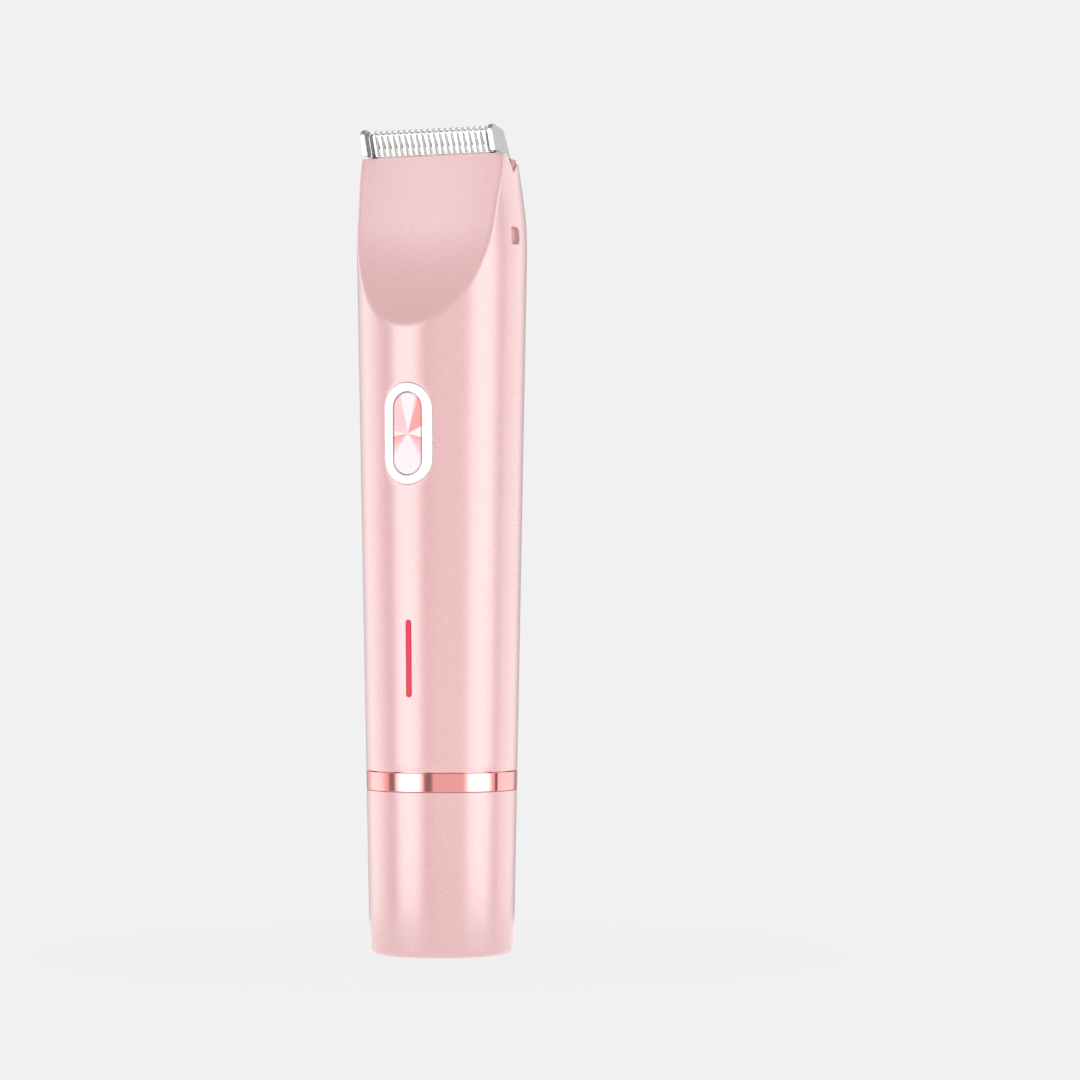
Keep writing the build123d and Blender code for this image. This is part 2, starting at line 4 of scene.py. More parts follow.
import bmesh
import bpy
import numpy as np
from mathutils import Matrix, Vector


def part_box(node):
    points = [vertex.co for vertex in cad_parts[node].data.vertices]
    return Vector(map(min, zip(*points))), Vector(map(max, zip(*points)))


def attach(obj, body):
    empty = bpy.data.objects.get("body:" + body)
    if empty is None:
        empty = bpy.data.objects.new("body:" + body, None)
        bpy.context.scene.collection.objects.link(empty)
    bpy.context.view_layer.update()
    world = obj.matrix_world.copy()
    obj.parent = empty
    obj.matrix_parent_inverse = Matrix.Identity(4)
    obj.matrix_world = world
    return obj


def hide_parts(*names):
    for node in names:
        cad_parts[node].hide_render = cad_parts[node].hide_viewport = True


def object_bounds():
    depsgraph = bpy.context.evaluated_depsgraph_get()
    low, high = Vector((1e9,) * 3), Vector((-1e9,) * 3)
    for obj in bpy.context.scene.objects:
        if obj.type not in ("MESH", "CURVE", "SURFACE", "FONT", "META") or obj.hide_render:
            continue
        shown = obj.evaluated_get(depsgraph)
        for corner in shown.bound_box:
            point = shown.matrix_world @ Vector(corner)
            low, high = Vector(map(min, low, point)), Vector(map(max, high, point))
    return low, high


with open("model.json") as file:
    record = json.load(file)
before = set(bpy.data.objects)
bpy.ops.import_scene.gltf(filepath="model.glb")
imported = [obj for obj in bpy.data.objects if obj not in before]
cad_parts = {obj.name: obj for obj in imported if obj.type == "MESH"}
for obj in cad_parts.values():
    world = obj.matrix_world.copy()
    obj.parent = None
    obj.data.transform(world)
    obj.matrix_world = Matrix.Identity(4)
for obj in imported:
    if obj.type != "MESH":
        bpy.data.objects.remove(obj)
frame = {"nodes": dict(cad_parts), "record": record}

# A rechargeable two-headed body trimmer. Shapes are worked out in millimetres and become metres in the mesh.
# -Y is the button side and +Z runs up the body to the comb. Angles about Z start at -Y and grow towards +X.
MM = 0.001
X, Y, Z = 0, 1, 2
cad_low, cad_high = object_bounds()


def low(node, axis):
    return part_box(node)[0][axis] / MM


def high(node, axis):
    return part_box(node)[1][axis] / MM


# Outer form: a cone that leaves its straight line near the comb by a (start height, rate, power) bend
BASE_RADIUS, TAPER = 14.1, 0.0189
SIDE_BEND = (137.0, 0.034, 1.3)
REAR_BEND = (141.5, 0.143, 1.5)
FRONT_BEND = (146.0, -0.25, 1.7)
WALL = 1.5

# Scooped front: an arc below the join and a straight lean above it
SCOOP_JOIN_Y, SCOOP_JOIN_Z, SCOOP_LEAN = -8.6, 142.0, 0.241
SCOOP_CENTRE_Y, SCOOP_CENTRE_Z, SCOOP_RADIUS = -87.61, 161.04, 81.27
SCOOP_WALL, SCOOP_BLEND = 1.6, 0.4
SCOOP_CROWN, CROWN_HALF = 0.7, 14.0

# Heights
SHELL_LOW = low("main_shell", Z)
RING_LOW, RING_TOP = low("accent_ring", Z), 35.65
CAP_TOP = 31.95
DECK_LOW, DECK_HIGH = 142.3, 143.8
DRAPE_FROM = 150.4
FINE_FROM = 119.0        # the outside's rows are closer above it, and the inside's are its own
# (y, height, radius) corners of the rim seen from the side
RIM = [(-40, 155.9, 0), (-3.4, 155.75, 0.6), (-2.3, 154.5, 0), (-1.0, 152.15, 0.25), (1.5, 154.1, 0.5),
       (40, 154.3, 0)]

# Radii of softened edges, and the turns at which the rings of one lie
EDGE, RIM_EDGE = 0.12, 0.2
ROUNDING = (math.pi / 6, math.pi / 3, math.pi / 2)

# Cartridge pocket and the slot under it
POCKET_SIDE, POCKET_REAR, POCKET_FRONT = 14.6, 9.6, 4.15
SLOT_RADIUS, SLOT_STRAIGHT = 1.9, 1.0

# Front and rear features
LIGHT_LENGTH, LIGHT_WIDTH, LIGHT_Z = 14.9, 1.15, 57.75
BEZEL_LENGTH, BEZEL_WIDTH, BUTTON_Z = 19.6, 10.0, 101.1
BUTTON_LENGTH, BUTTON_WIDTH = 16.0, 6.0
BEZEL_PROUD = 0.25
BEZEL_GAP, BUTTON_GAP, PORT_GAP = 0.1, 0.2, 0.1        # both sides together
BUTTON_FACE = low("power_button", Y)
PORT_LENGTH, PORT_HEIGHT, PORT_RECESS, PORT_Z = 11.8, 5.8, 0.9, 61.2
MOUTH_LENGTH, MOUTH_HEIGHT = 9.34, 3.66
GRIP_LOW, GRIP_HIGH, GRIP_FRONT, GRIP_REAR, GRIP_DEEP = 138.1, 141.45, -3.1, 0.0, 15.45

# Comb
TOOTH_PITCH, TOOTH_GAPS, GAP_WIDTH = 1.253, 21, 0.75
COMB_HALF = high("comb", X)
COMB_FOOT = 156.05
# Leaning front edge of the end guards
GUARD_FOOT_Y, GUARD_TOP_Y, GUARD_TOP_Z = -6.4, -8.5, 161.5
GUARD_LEAN = (GUARD_FOOT_Y - GUARD_TOP_Y) / (GUARD_TOP_Z - COMB_FOOT)

FRONT, RIGHT, REAR, LEFT = 0.0, math.pi / 2, math.pi, -math.pi / 2


# Camera -----

CAMERA_AZIMUTH, CAMERA_DISTANCE, CAMERA_HEIGHT = math.radians(25), 0.8, 0.0696
CAMERA_TURN, CAMERA_TILT = math.radians(1.376), math.radians(0.80)
CAMERA_LENS, SENSOR_WIDTH, CAMERA_REACH = 136, 36, 200


def make_camera():
    camera = bpy.data.objects.new("camera", bpy.data.cameras.new("camera"))
    camera.data.lens = CAMERA_LENS
    camera.data.sensor_width = SENSOR_WIDTH
    camera.data.clip_end = CAMERA_REACH
    bpy.context.scene.collection.objects.link(camera)
    bpy.context.scene.camera = camera
    across = math.sin(CAMERA_AZIMUTH) * CAMERA_DISTANCE
    back = -math.cos(CAMERA_AZIMUTH) * CAMERA_DISTANCE
    camera.location = (across, back, CAMERA_HEIGHT)
    camera.rotation_euler = (math.pi / 2 + CAMERA_TILT, 0, CAMERA_AZIMUTH - CAMERA_TURN)


# Node helpers -----

def node(tree, kind, *sources, **values):
    """A new node with sources linked to its first inputs, and values set by input name with _ for a space."""
    made = tree.nodes.new(kind)
    for source, socket in zip(sources, made.inputs):
        tree.links.new(source, socket)
    for name, value in values.items():
        made.inputs[name.replace("_", " ")].default_value = value
    return made


def math_node(tree, operation, first, second):
    made = tree.nodes.new("ShaderNodeMath")
    made.operation = operation
    for socket, value in zip(made.inputs, (first, second)):
        if isinstance(value, bpy.types.NodeSocket):
            tree.links.new(value, socket)
        else:
            socket.default_value = value
    return made.outputs[0]


def vector_node(tree, operation, source, vector=(0, 0, 0)):
    made = node(tree, "ShaderNodeVectorMath", source)
    made.operation = operation
    made.inputs[1].default_value = vector
    return made.outputs


def smooth_range(tree, value, start, end, to_start=0.0, to_end=1.0):
    """A smooth ramp of value from start to end."""
    made = node(tree, "ShaderNodeMapRange", value, From_Min=start, From_Max=end, To_Min=to_start,
                To_Max=to_end)
    made.interpolation_type = "SMOOTHSTEP"
    return made.outputs["Result"]


def mixed(tree, factor, first, second):
    """Colour between two colours, or colour sockets, by a factor socket."""
    made = tree.nodes.new("ShaderNodeMix")
    made.data_type = "RGBA"
    tree.links.new(factor, made.inputs["Factor"])
    for name, colour in (("A", first), ("B", second)):
        socket = [s for s in made.inputs if s.name == name and s.type == "RGBA"][0]
        if isinstance(colour, bpy.types.NodeSocket):
            tree.links.new(colour, socket)
        else:
            socket.default_value = (*colour, 1)
    return [s for s in made.outputs if s.type == "RGBA"][0]


def object_place(tree, stretch=(1, 1, 1)):
    """Position on the piece in its own coordinates, stretched along the axes."""
    place = node(tree, "ShaderNodeTexCoord").outputs["Object"]
    return node(tree, "ShaderNodeMapping", place, Scale=stretch).outputs["Vector"]


def noise(tree, place, scale, detail=3.0):
    return node(tree, "ShaderNodeTexNoise", place, Scale=scale, Detail=detail).outputs["Fac"]


# Light -----

PALE = 0.879                         # background the camera sees
AMBIENT, SKY = 0.85, 0.54            # light from the sides and from overhead, without the strips
SKY_FROM, SKY_TO = 0.1, 0.7
# (azimuth in degrees, half width in degrees, strength) of the strips, and of the dark gaps beside them
STRIPS = ((-27, 26, 2.7), (84, 27, 2.6), (142, 32, 0.6), (-95, 27, 0.8))
DARKS = ((-58, 8, 0.55), (4, 9, 0.55), (117, 4, 0.9), (-160, 38, 0.45))
STRIP_RISE, STRIP_CORE = 0.72, 0.05
# The floor's own glow as the camera sees it and as it lights the part, and how much light it sends back
FLOOR_GLOW, FLOOR_BOUNCE, FLOOR_ALBEDO = 0.775, 1.0, 0.14
FLOOR_RADIUS = 0.08


def strip_mask(tree, level, steep, azimuth, half_width):
    """1 at an azimuth on the horizon, falling to 0 half_width degrees beside it and STRIP_RISE above it."""
    turn = math.radians(azimuth)
    dot = vector_node(tree, "DOT_PRODUCT", level, (math.sin(turn), -math.cos(turn), 0))["Value"]
    widest = 1 - math.cos(math.radians(half_width))
    aside = math_node(tree, "DIVIDE", math_node(tree, "SUBTRACT", 1, dot), widest)
    above = math_node(tree, "POWER", math_node(tree, "DIVIDE", steep, STRIP_RISE), 2)
    return smooth_range(tree, math_node(tree, "ADD", aside, above), 1.0, STRIP_CORE)


def make_world():
    """A studio of upright strip lights and dark gaps, which the camera sees only by its light."""
    world = bpy.data.worlds.new("studio")
    bpy.context.scene.world = world
    world.use_nodes = True
    tree = world.node_tree
    tree.nodes.clear()
    place = tree.nodes.new("ShaderNodeTexCoord").outputs["Generated"]
    level = vector_node(tree, "NORMALIZE", vector_node(tree, "MULTIPLY", place, (1, 1, 0))[0])[0]
    rise = node(tree, "ShaderNodeSeparateXYZ", place).outputs["Z"]
    steep = math_node(tree, "ABSOLUTE", rise, 0)
    total = smooth_range(tree, rise, SKY_FROM, SKY_TO, AMBIENT, SKY)
    for operation, bands in (("ADD", STRIPS), ("SUBTRACT", DARKS)):
        for azimuth, half_width, strength in bands:
            mask = strip_mask(tree, level, steep, azimuth, half_width)
            total = math_node(tree, operation, total, math_node(tree, "MULTIPLY", mask, strength))
    studio = node(tree, "ShaderNodeBackground", Color=(1, 1, 1, 1))
    tree.links.new(total, studio.inputs["Strength"])
    plain = node(tree, "ShaderNodeBackground", Color=(PALE, PALE, PALE, 1), Strength=1.0)
    seen = node(tree, "ShaderNodeLightPath").outputs["Is Camera Ray"]
    choice = node(tree, "ShaderNodeMixShader", seen, studio.outputs[0], plain.outputs[0])
    node(tree, "ShaderNodeOutputWorld", choice.outputs[0])


def make_floor():
    """A pale floor that glows evenly and takes a faint shadow."""
    material = bpy.data.materials.new("floor")
    material.use_nodes = True
    tree = material.node_tree
    tree.nodes.clear()
    glow = node(tree, "ShaderNodeEmission", Color=(1, 1, 1, 1))
    seen = node(tree, "ShaderNodeLightPath").outputs["Is Camera Ray"]
    tree.links.new(smooth_range(tree, seen, 0, 1, FLOOR_BOUNCE, FLOOR_GLOW), glow.inputs["Strength"])
    matt = node(tree, "ShaderNodeBsdfDiffuse", Color=(FLOOR_ALBEDO, FLOOR_ALBEDO, FLOOR_ALBEDO, 1))
    both = node(tree, "ShaderNodeAddShader", glow.outputs[0], matt.outputs[0])
    node(tree, "ShaderNodeOutputMaterial", both.outputs[0])
    mesh = bpy.data.meshes.new("floor")
    edge = [(x * FLOOR_RADIUS, y * FLOOR_RADIUS, cad_low.z) for x, y, _ in circle(1, 0, 96)]
    mesh.from_pydata(edge, [], [tuple(range(len(edge)))])
    mesh.materials.append(material)
    floor = bpy.data.objects.new("floor", mesh)
    bpy.context.scene.collection.objects.link(floor)


# Materials -----

MATERIALS = {}
BROAD_SHARE, FINE_SHARE, BUMP_DEPTH = 0.6, 0.4, 0.0001


def finish(slot, colour, other, roughness, spread=0.06, grain=900.0, relief=0.05, stretch=(1, 1, 1),
           **sockets):
    """A surface whose colour wanders between two tones, with uneven roughness and a fine relief."""
    material = bpy.data.materials.new(slot)
    material.use_nodes = True
    tree = material.node_tree
    shader = tree.nodes["Principled BSDF"]
    place = object_place(tree, stretch)
    broad = noise(tree, place, grain / 12)
    fine = noise(tree, place, grain)
    tone = math_node(tree, "ADD", math_node(tree, "MULTIPLY", broad, BROAD_SHARE),
                     math_node(tree, "MULTIPLY", fine, FINE_SHARE))
    rough = smooth_range(tree, fine, 0.3, 0.7, roughness - spread / 2, roughness + spread / 2)
    tree.links.new(mixed(tree, tone, colour, other), shader.inputs["Base Color"])
    tree.links.new(rough, shader.inputs["Roughness"])
    bump = node(tree, "ShaderNodeBump", Strength=relief, Distance=BUMP_DEPTH)
    tree.links.new(fine, bump.inputs["Height"])
    tree.links.new(bump.outputs["Normal"], shader.inputs["Normal"])
    for name, value in sockets.items():
        shader.inputs[name.replace("_", " ")].default_value = value
    MATERIALS[slot] = material
    return tree, shader, place


def make_materials():
    finish("pearl_pink", (0.69, 0.40, 0.405), (0.66, 0.38, 0.39), 0.27, 0.05, 5000.0, 0.02, Coat_Weight=1.0,
           Coat_Roughness=0.2, Specular_IOR_Level=1.0)
    finish("clear_pink", (0.72, 0.36, 0.38), (0.66, 0.31, 0.335), 0.2, 0.05, 1200.0, 0.03,
           Subsurface_Weight=0.35, Subsurface_Scale=0.002, Coat_Weight=0.2, Coat_Roughness=0.08)
    finish("deep_pink", (0.50, 0.25, 0.26), (0.45, 0.22, 0.23), 0.34, 0.06, 2400.0, 0.04)
    finish("rose_gold", (1.0, 0.41, 0.395), (0.97, 0.385, 0.37), 0.08, 0.03, 2600.0, 0.01, (1, 1, 12),
           Metallic=1.0)
    finish("white_gloss", (0.93, 0.93, 0.92), (0.90, 0.90, 0.90), 0.16, 0.04, 1500.0, 0.02, Coat_Weight=0.3,
           Coat_Roughness=0.05)
    make_button_metal()
    make_red_light()
    finish("led_white", (0.92, 0.90, 0.78), (0.88, 0.84, 0.70), 0.25, 0.05, 2500.0, 0.03)
    finish("comb_steel", (0.96, 0.96, 0.96), (0.90, 0.90, 0.90), 0.22, 0.08, 2200.0, 0.05, (1, 6, 1),
           Metallic=1.0)
    make_guard_grey()
    finish("white_ceramic", (0.94, 0.94, 0.93), (0.90, 0.90, 0.89), 0.2, 0.05, 1600.0, 0.02, Coat_Weight=0.3,
           Coat_Roughness=0.06)
    finish("foil_steel", (0.80, 0.80, 0.81), (0.70, 0.70, 0.71), 0.24, 0.08, 1800.0, 0.04, Metallic=1.0)
    finish("spring_steel", (0.50, 0.50, 0.52), (0.42, 0.42, 0.44), 0.3, 0.08, 1500.0, 0.05, Metallic=1.0)
    finish("motor_steel", (0.62, 0.62, 0.63), (0.52, 0.52, 0.53), 0.34, 0.1, 900.0, 0.06, (1, 1, 5),
           Metallic=1.0)
    finish("nickel", (0.70, 0.67, 0.60), (0.62, 0.58, 0.52), 0.25, 0.08, 1400.0, 0.04, Metallic=1.0)
    finish("brass", (0.80, 0.60, 0.28), (0.70, 0.50, 0.22), 0.28, 0.08, 1400.0, 0.04, Metallic=1.0)
    finish("white_nylon", (0.86, 0.86, 0.83), (0.80, 0.80, 0.77), 0.42, 0.08, 1500.0, 0.06)
    finish("frame_plastic", (0.72, 0.72, 0.70), (0.64, 0.64, 0.63), 0.45, 0.1, 1300.0, 0.08)
    finish("cell_wrap", (0.10, 0.28, 0.42), (0.08, 0.23, 0.36), 0.3, 0.06, 700.0, 0.05, Coat_Weight=0.3,
           Coat_Roughness=0.1)
    make_board_green()
    finish("chip_black", (0.03, 0.03, 0.032), (0.045, 0.045, 0.045), 0.5, 0.1, 2600.0, 0.08)
    finish("black_rubber", (0.02, 0.02, 0.021), (0.032, 0.032, 0.032), 0.6, 0.1, 1700.0, 0.12)
    finish("pink_silicone", (0.76, 0.44, 0.45), (0.71, 0.40, 0.415), 0.46, 0.08, 2600.0, 0.08)


# Colours of the button's painted reflection: painted highlights in light pink and cream, pink and coral
# between them
HIGHLIGHT_PINK, HIGHLIGHT_CREAM = (0.70, 0.57, 0.60), (0.68, 0.53, 0.48)
PINK, CORAL = (0.69, 0.40, 0.42), (0.70, 0.24, 0.24)
# (degrees clockwise from the top, colour) of the lobes of the painted reflection on the turned face of the
# button: the light pink and cream lobes are painted highlights, the coral ones painted reflection of the
# studio between the lights
PAINTED_REFLECTION_LOBES = ((-180, HIGHLIGHT_PINK), (-148, HIGHLIGHT_PINK), (-138, PINK), (-104, CORAL), (-97, HIGHLIGHT_CREAM), (-85, HIGHLIGHT_CREAM),
         (-79, PINK), (-32, PINK), (-15, PINK), (-9, HIGHLIGHT_PINK), (11, HIGHLIGHT_PINK), (19, CORAL), (62, CORAL),
         (69, HIGHLIGHT_PINK), (101, HIGHLIGHT_PINK), (108, CORAL), (140, PINK), (156, HIGHLIGHT_PINK),
         (180, HIGHLIGHT_PINK))


def make_button_metal():
    """Pink anodised metal turned about the button's centre, with the lobes of a painted reflection out from
    there: painted highlights in light pink and cream, coral and pink between.
    """
    tree, shader, place = finish("button_metal", HIGHLIGHT_PINK, PINK, 0.28, 0.06, 2600.0, 0.02,
                                 Metallic=0.25, Anisotropic=0.85, Specular_IOR_Level=0.3)
    arm = vector_node(tree, "SUBTRACT", place, (0, 0, BUTTON_Z * MM))[0]
    tree.links.new(vector_node(tree, "CROSS_PRODUCT", arm, (0, 1, 0))[0], shader.inputs["Tangent"])
    along = node(tree, "ShaderNodeSeparateXYZ", arm).outputs
    angle = math_node(tree, "ARCTAN2", along["X"], along["Z"])
    share = math_node(tree, "ADD", math_node(tree, "DIVIDE", angle, 2 * math.pi), 0.5)
    # The button's colour is a painted reflection: painted highlight lobes and coral lobes set by the angle
    # about its centre
    painted_reflection = node(tree, "ShaderNodeValToRGB", share)
    stops = painted_reflection.color_ramp.elements
    while len(stops) < len(PAINTED_REFLECTION_LOBES):
        stops.new(0.5)
    for stop, (degrees, colour) in zip(stops, PAINTED_REFLECTION_LOBES):
        stop.position = degrees / 360 + 0.5
        stop.color = (*colour, 1)
    tree.links.new(painted_reflection.outputs["Color"], shader.inputs["Base Color"])


def make_guard_grey():
    """Grey plate with a painted highlight, near white, along its leaning front edge, fading into the grey
    behind it.
    """
    # A painted highlight: near-white along the leaning front edge, where the rounded edge catches the light,
    # fading to grey a little behind it
    painted_edge_highlight, highlight_full_to, grey_from = (0.97, 0.97, 0.97), 0.15 * MM, 0.4 * MM
    tree, shader, place = finish("guard_grey", (0.42, 0.42, 0.425), (0.37, 0.37, 0.375), 0.28, 0.06, 1800.0,
                                 0.04, Metallic=0.9)
    along = node(tree, "ShaderNodeSeparateXYZ", place).outputs
    leaning = math_node(tree, "MULTIPLY", along["Z"], GUARD_LEAN)
    behind = math_node(tree, "ADD", math_node(tree, "ADD", along["Y"], leaning),
                       (-GUARD_FOOT_Y - GUARD_LEAN * COMB_FOOT) * MM)
    grey = shader.inputs["Base Color"].links[0].from_socket
    # Mix in the painted highlight by the distance behind the leaning front edge
    tree.links.new(mixed(tree, smooth_range(tree, behind, highlight_full_to, grey_from), painted_edge_highlight, grey),
                   shader.inputs["Base Color"])


def make_red_light():
    finish("red_light", (0.60, 0.030, 0.065), (0.55, 0.024, 0.054), 0.4, 0.05, 2000.0, 0.02,
           Specular_IOR_Level=0.2, Emission_Color=(0.80, 0.03, 0.07, 1), Emission_Strength=0.25)


def make_board_green():
    """Solder mask with the darker lines of the copper below it."""
    tree, shader, place = finish("board_green", (0.03, 0.20, 0.10), (0.025, 0.16, 0.08), 0.32, 0.06, 1500.0,
                                 0.04, Coat_Weight=0.4, Coat_Roughness=0.1)
    upright = node(tree, "ShaderNodeMapping", place, Rotation=(math.pi / 2, 0, 0)).outputs["Vector"]
    copper = node(tree, "ShaderNodeTexBrick", upright, Scale=260.0, Mortar_Size=0.03,
                  Color1=(0.03, 0.20, 0.10, 1), Color2=(0.028, 0.18, 0.09, 1), Mortar=(0.05, 0.30, 0.15, 1))
    tree.links.new(copper.outputs["Color"], shader.inputs["Base Color"])


def dress_cad_nodes():
    """Every carried-over CAD node takes the material of its slot."""
    for part in frame["record"]["subparts"]:
        piece = frame["nodes"][part["node"]]
        if not piece.material_slots:
            piece.data.materials.append(None)
        for slot in piece.material_slots:
            slot.link = "OBJECT"
            slot.material = MATERIALS[part["material_slot"]]


# Mesh building -----

class Skin:
    """Points and faces of one mesh, added ring by ring."""

    def __init__(self):
        self.points = []
        self.faces = []

    def ring(self, points):
        first = len(self.points)
        self.points.extend(tuple(p) for p in points)
        return list(range(first, len(self.points)))

    def bridge(self, one, two):
        """Faces between two closed rings of the same length, or between a ring and a single point."""
        if len(two) == 1:
            one, two = two, one
        count = len(two)
        for i in range(count):
            j = (i + 1) % count
            if len(one) == 1:
                self.faces.append((one[0], two[j], two[i]))
            else:
                self.faces.append((one[i], one[j], two[j], two[i]))

    def stack(self, rings, closed=False):
        for one, two in zip(rings, rings[1:]):
            self.bridge(one, two)
        if closed:
            self.bridge(rings[-1], rings[0])
        return rings

    def cover(self, *rings):
        """One flat face across each ring."""
        self.faces.extend(tuple(ring) for ring in rings)

    def tube_of(self, rings):
        """Closed solid from rings of points, with both ends covered."""
        made = self.stack([self.ring(points) for points in rings])
        self.cover(made[0], reversed(made[-1]))

    def piece(self, name, body, slot, replaces, crease=34):
        """The finished object, riding on its body in place of the CAD nodes named."""
        mesh = bpy.data.meshes.new(name)
        mesh.from_pydata([(x * MM, y * MM, z * MM) for x, y, z in self.points], [], self.faces)
        work = bmesh.new()
        work.from_mesh(mesh)
        bmesh.ops.recalc_face_normals(work, faces=work.faces)
        work.to_mesh(mesh)
        work.free()
        mesh.shade_smooth()
        mesh.set_sharp_from_angle(angle=math.radians(crease))
        mesh.materials.append(MATERIALS[slot])
        made = bpy.data.objects.new(name, mesh)
        bpy.context.scene.collection.objects.link(made)
        weighted = made.modifiers.new("even normals", "WEIGHTED_NORMAL")
        weighted.keep_sharp = True
        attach(made, body)
        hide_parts(*replaces)
        return made


def rounded(corners, closed=True, steps=5):
    """Outline from (x, y, radius) corners, each replaced by an arc of its radius."""
    made = []
    count = len(corners)
    for i, (x, y, radius) in enumerate(corners):
        end = not closed and i in (0, count - 1)
        if radius == 0 or end:
            made.append((x, y))
            continue
        here = Vector((x, y))
        back = (Vector(corners[i - 1][:2]) - here).normalized()
        ahead = (Vector(corners[(i + 1) % count][:2]) - here).normalized()
        half = back.angle(ahead) / 2
        centre = here + (back + ahead).normalized() * radius / math.sin(half)
        start = here + back * radius / math.tan(half) - centre
        stop = here + ahead * radius / math.tan(half) - centre
        swing = start.angle(stop)
        for k in range(steps + 1):
            share = k / steps
            arm = (start * math.sin((1 - share) * swing) + stop * math.sin(share * swing)) / math.sin(swing)
            made.append(tuple(centre + arm))
    return made


def circle(radius, height, count):
    turns = [2 * math.pi * i / count for i in range(count)]
    return [(radius * math.sin(t), -radius * math.cos(t), height) for t in turns]


def turned(skin, profile, closed=True, count=288):
    """Surface turned about Z from (radius, height) points, where radius 0 is a pole."""
    rings = []
    for radius, height in profile:
        rings.append(skin.ring([(0, 0, height)] if radius == 0 else circle(radius, height, count)))
    skin.stack(rings, closed)


def cone_radius(z):
    return BASE_RADIUS + TAPER * z


def quarter(edge, turns=ROUNDING):
    """(growth, sink) of the rings round a softened edge, from near the face down to the side."""
    return [(-edge * (1 - math.sin(turn)), edge * (1 - math.cos(turn))) for turn in turns]


def bend(z, start, rate, power):
    """How far a wall has come in from the cone at height z."""
    return rate * np.maximum(z - start, 0.0) ** power


def form_radius(angle, z, inset=0.0):
    """Distance from the axis to the outer form: an ellipse quarter between each pair of walls."""
    cone = cone_radius(z) - inset
    side = cone - bend(z, *SIDE_BEND)
    depth = cone - np.where(np.cos(angle) > 0, bend(z, *FRONT_BEND), bend(z, *REAR_BEND))
    return 1 / np.hypot(np.sin(angle) / side, np.cos(angle) / depth)


def scoop_y(z):
    """How far forward the scooped face is at height z."""
    rise = np.minimum(z, SCOOP_JOIN_Z) - SCOOP_CENTRE_Z
    arc = SCOOP_CENTRE_Y + np.sqrt(np.maximum(SCOOP_RADIUS ** 2 - rise ** 2, 0))
    return np.where(z > SCOOP_JOIN_Z, SCOOP_JOIN_Y + SCOOP_LEAN * (z - SCOOP_JOIN_Z), arc)


def skin_radius(angle, z, inset=0.0, shift=0.0):
    """Distance from the axis to the shell: the form or the scooped face, the nearer one, softly joined."""
    z = np.full(np.shape(angle), z)
    form = form_radius(angle, z, inset)
    face = scoop_y(z) + shift
    near, far = 0.05 * form, form
    for _ in range(26):
        middle = (near + far) / 2
        past_form = middle - form
        crown = SCOOP_CROWN * (middle * np.sin(angle) / CROWN_HALF) ** 2
        past_face = face + crown + middle * np.cos(angle)
        overlap = np.maximum(SCOOP_BLEND - np.abs(past_form - past_face), 0) / SCOOP_BLEND
        outside = np.maximum(past_form, past_face) + overlap ** 2 * SCOOP_BLEND / 4 > 0
        near = np.where(outside, near, middle)
        far = np.where(outside, middle, far)
    return (near + far) / 2


def polar(angle, radius, z):
    """Points at angles and radii about the axis."""
    z = np.broadcast_to(z, np.shape(angle))
    return np.stack([radius * np.sin(angle), -radius * np.cos(angle), z], axis=-1)


def on_form(facing, u, v, inset=0.0):
    """Points of the outer form, less an inset, at u to the right and v up, seen square on from an angle."""
    depth = np.full_like(u, BASE_RADIUS)
    for _ in range(6):
        depth = np.sqrt(form_radius(facing + np.arctan2(u, depth), v, inset) ** 2 - u ** 2)
    return at_depth(facing, u, v, depth)


def at_depth(facing, u, v, depth):
    """Points at u to the right, v up and depth out from the axis, seen square on from an angle."""
    x = u * math.cos(facing) + depth * math.sin(facing)
    y = u * math.sin(facing) - depth * math.cos(facing)
    return np.stack([x, y, v + 0 * x], axis=-1)


# Outlines of openings and of what fills them -----

def stadium(length, width, level, across, upward):
    """Round-ended outline with as many points as a grid block's edge: across its top, upward at its side."""
    radius = width / 2
    straight = length / 2 - radius
    ends, flats = (upward, across) if level else (across, upward)
    points = []
    for end in (0, 1):
        middle = straight if end == 0 else -straight
        for k in range(ends):
            turn = math.pi * (end + k / ends)
            points.append((radius * math.cos(turn), middle + radius * math.sin(turn)))
        for k in range(flats):
            run = straight - 2 * straight * k / flats
            points.append((-radius, run) if end == 0 else (radius, -run))
    points = np.array(points)
    if level:
        points = np.stack([points[:, 1], -points[:, 0]], axis=-1)
        return np.roll(points, flats, axis=0)
    return np.roll(points, -(ends + flats), axis=0)


def growing(length, width, level, across, upward):
    """The stadium outline as a function of how far it has grown on every side."""
    return lambda grow: stadium(length + 2 * grow, width + 2 * grow, level, across, upward)


def grip_outline(rear_sign, toward):
    """D-shaped outline about its centre, met by rays towards the points given."""
    def outline(grow):
        half = (GRIP_REAR - GRIP_FRONT) / 2 + grow
        tall = (GRIP_HIGH - GRIP_LOW) / 2 + grow
        soft, tight = 1.2 + grow, 0.15 + grow
        corners = [(-half, -tall, tight), (half, -tall, soft), (half, tall, soft), (-half, tall, tight)]
        line = np.array(rounded(corners, steps=16))
        line[:, 0] *= rear_sign
        turns = np.arctan2(line[:, 1], line[:, 0])
        order = np.argsort(turns)
        wanted = np.arctan2(toward[:, 1], toward[:, 0])
        line = line[order]
        fine = densify(line)
        fine_turns = np.unwrap(np.arctan2(fine[:, 1], fine[:, 0]))
        reach = np.hypot(fine[:, 0], fine[:, 1])
        wanted = (wanted - fine_turns[0]) % (2 * math.pi) + fine_turns[0]
        reach = np.interp(wanted, fine_turns, reach)
        return np.stack([reach * np.cos(wanted), reach * np.sin(wanted)], axis=-1)
    return outline


def densify(line, share=24):
    """Closed outline with so many points between each pair."""
    ahead = np.roll(line, -1, axis=0)
    steps = np.linspace(0, 1, share, endpoint=False)[None, :, None]
    return (line[:, None] + (ahead - line)[:, None] * steps).reshape(-1, 2)


# Main shell -----

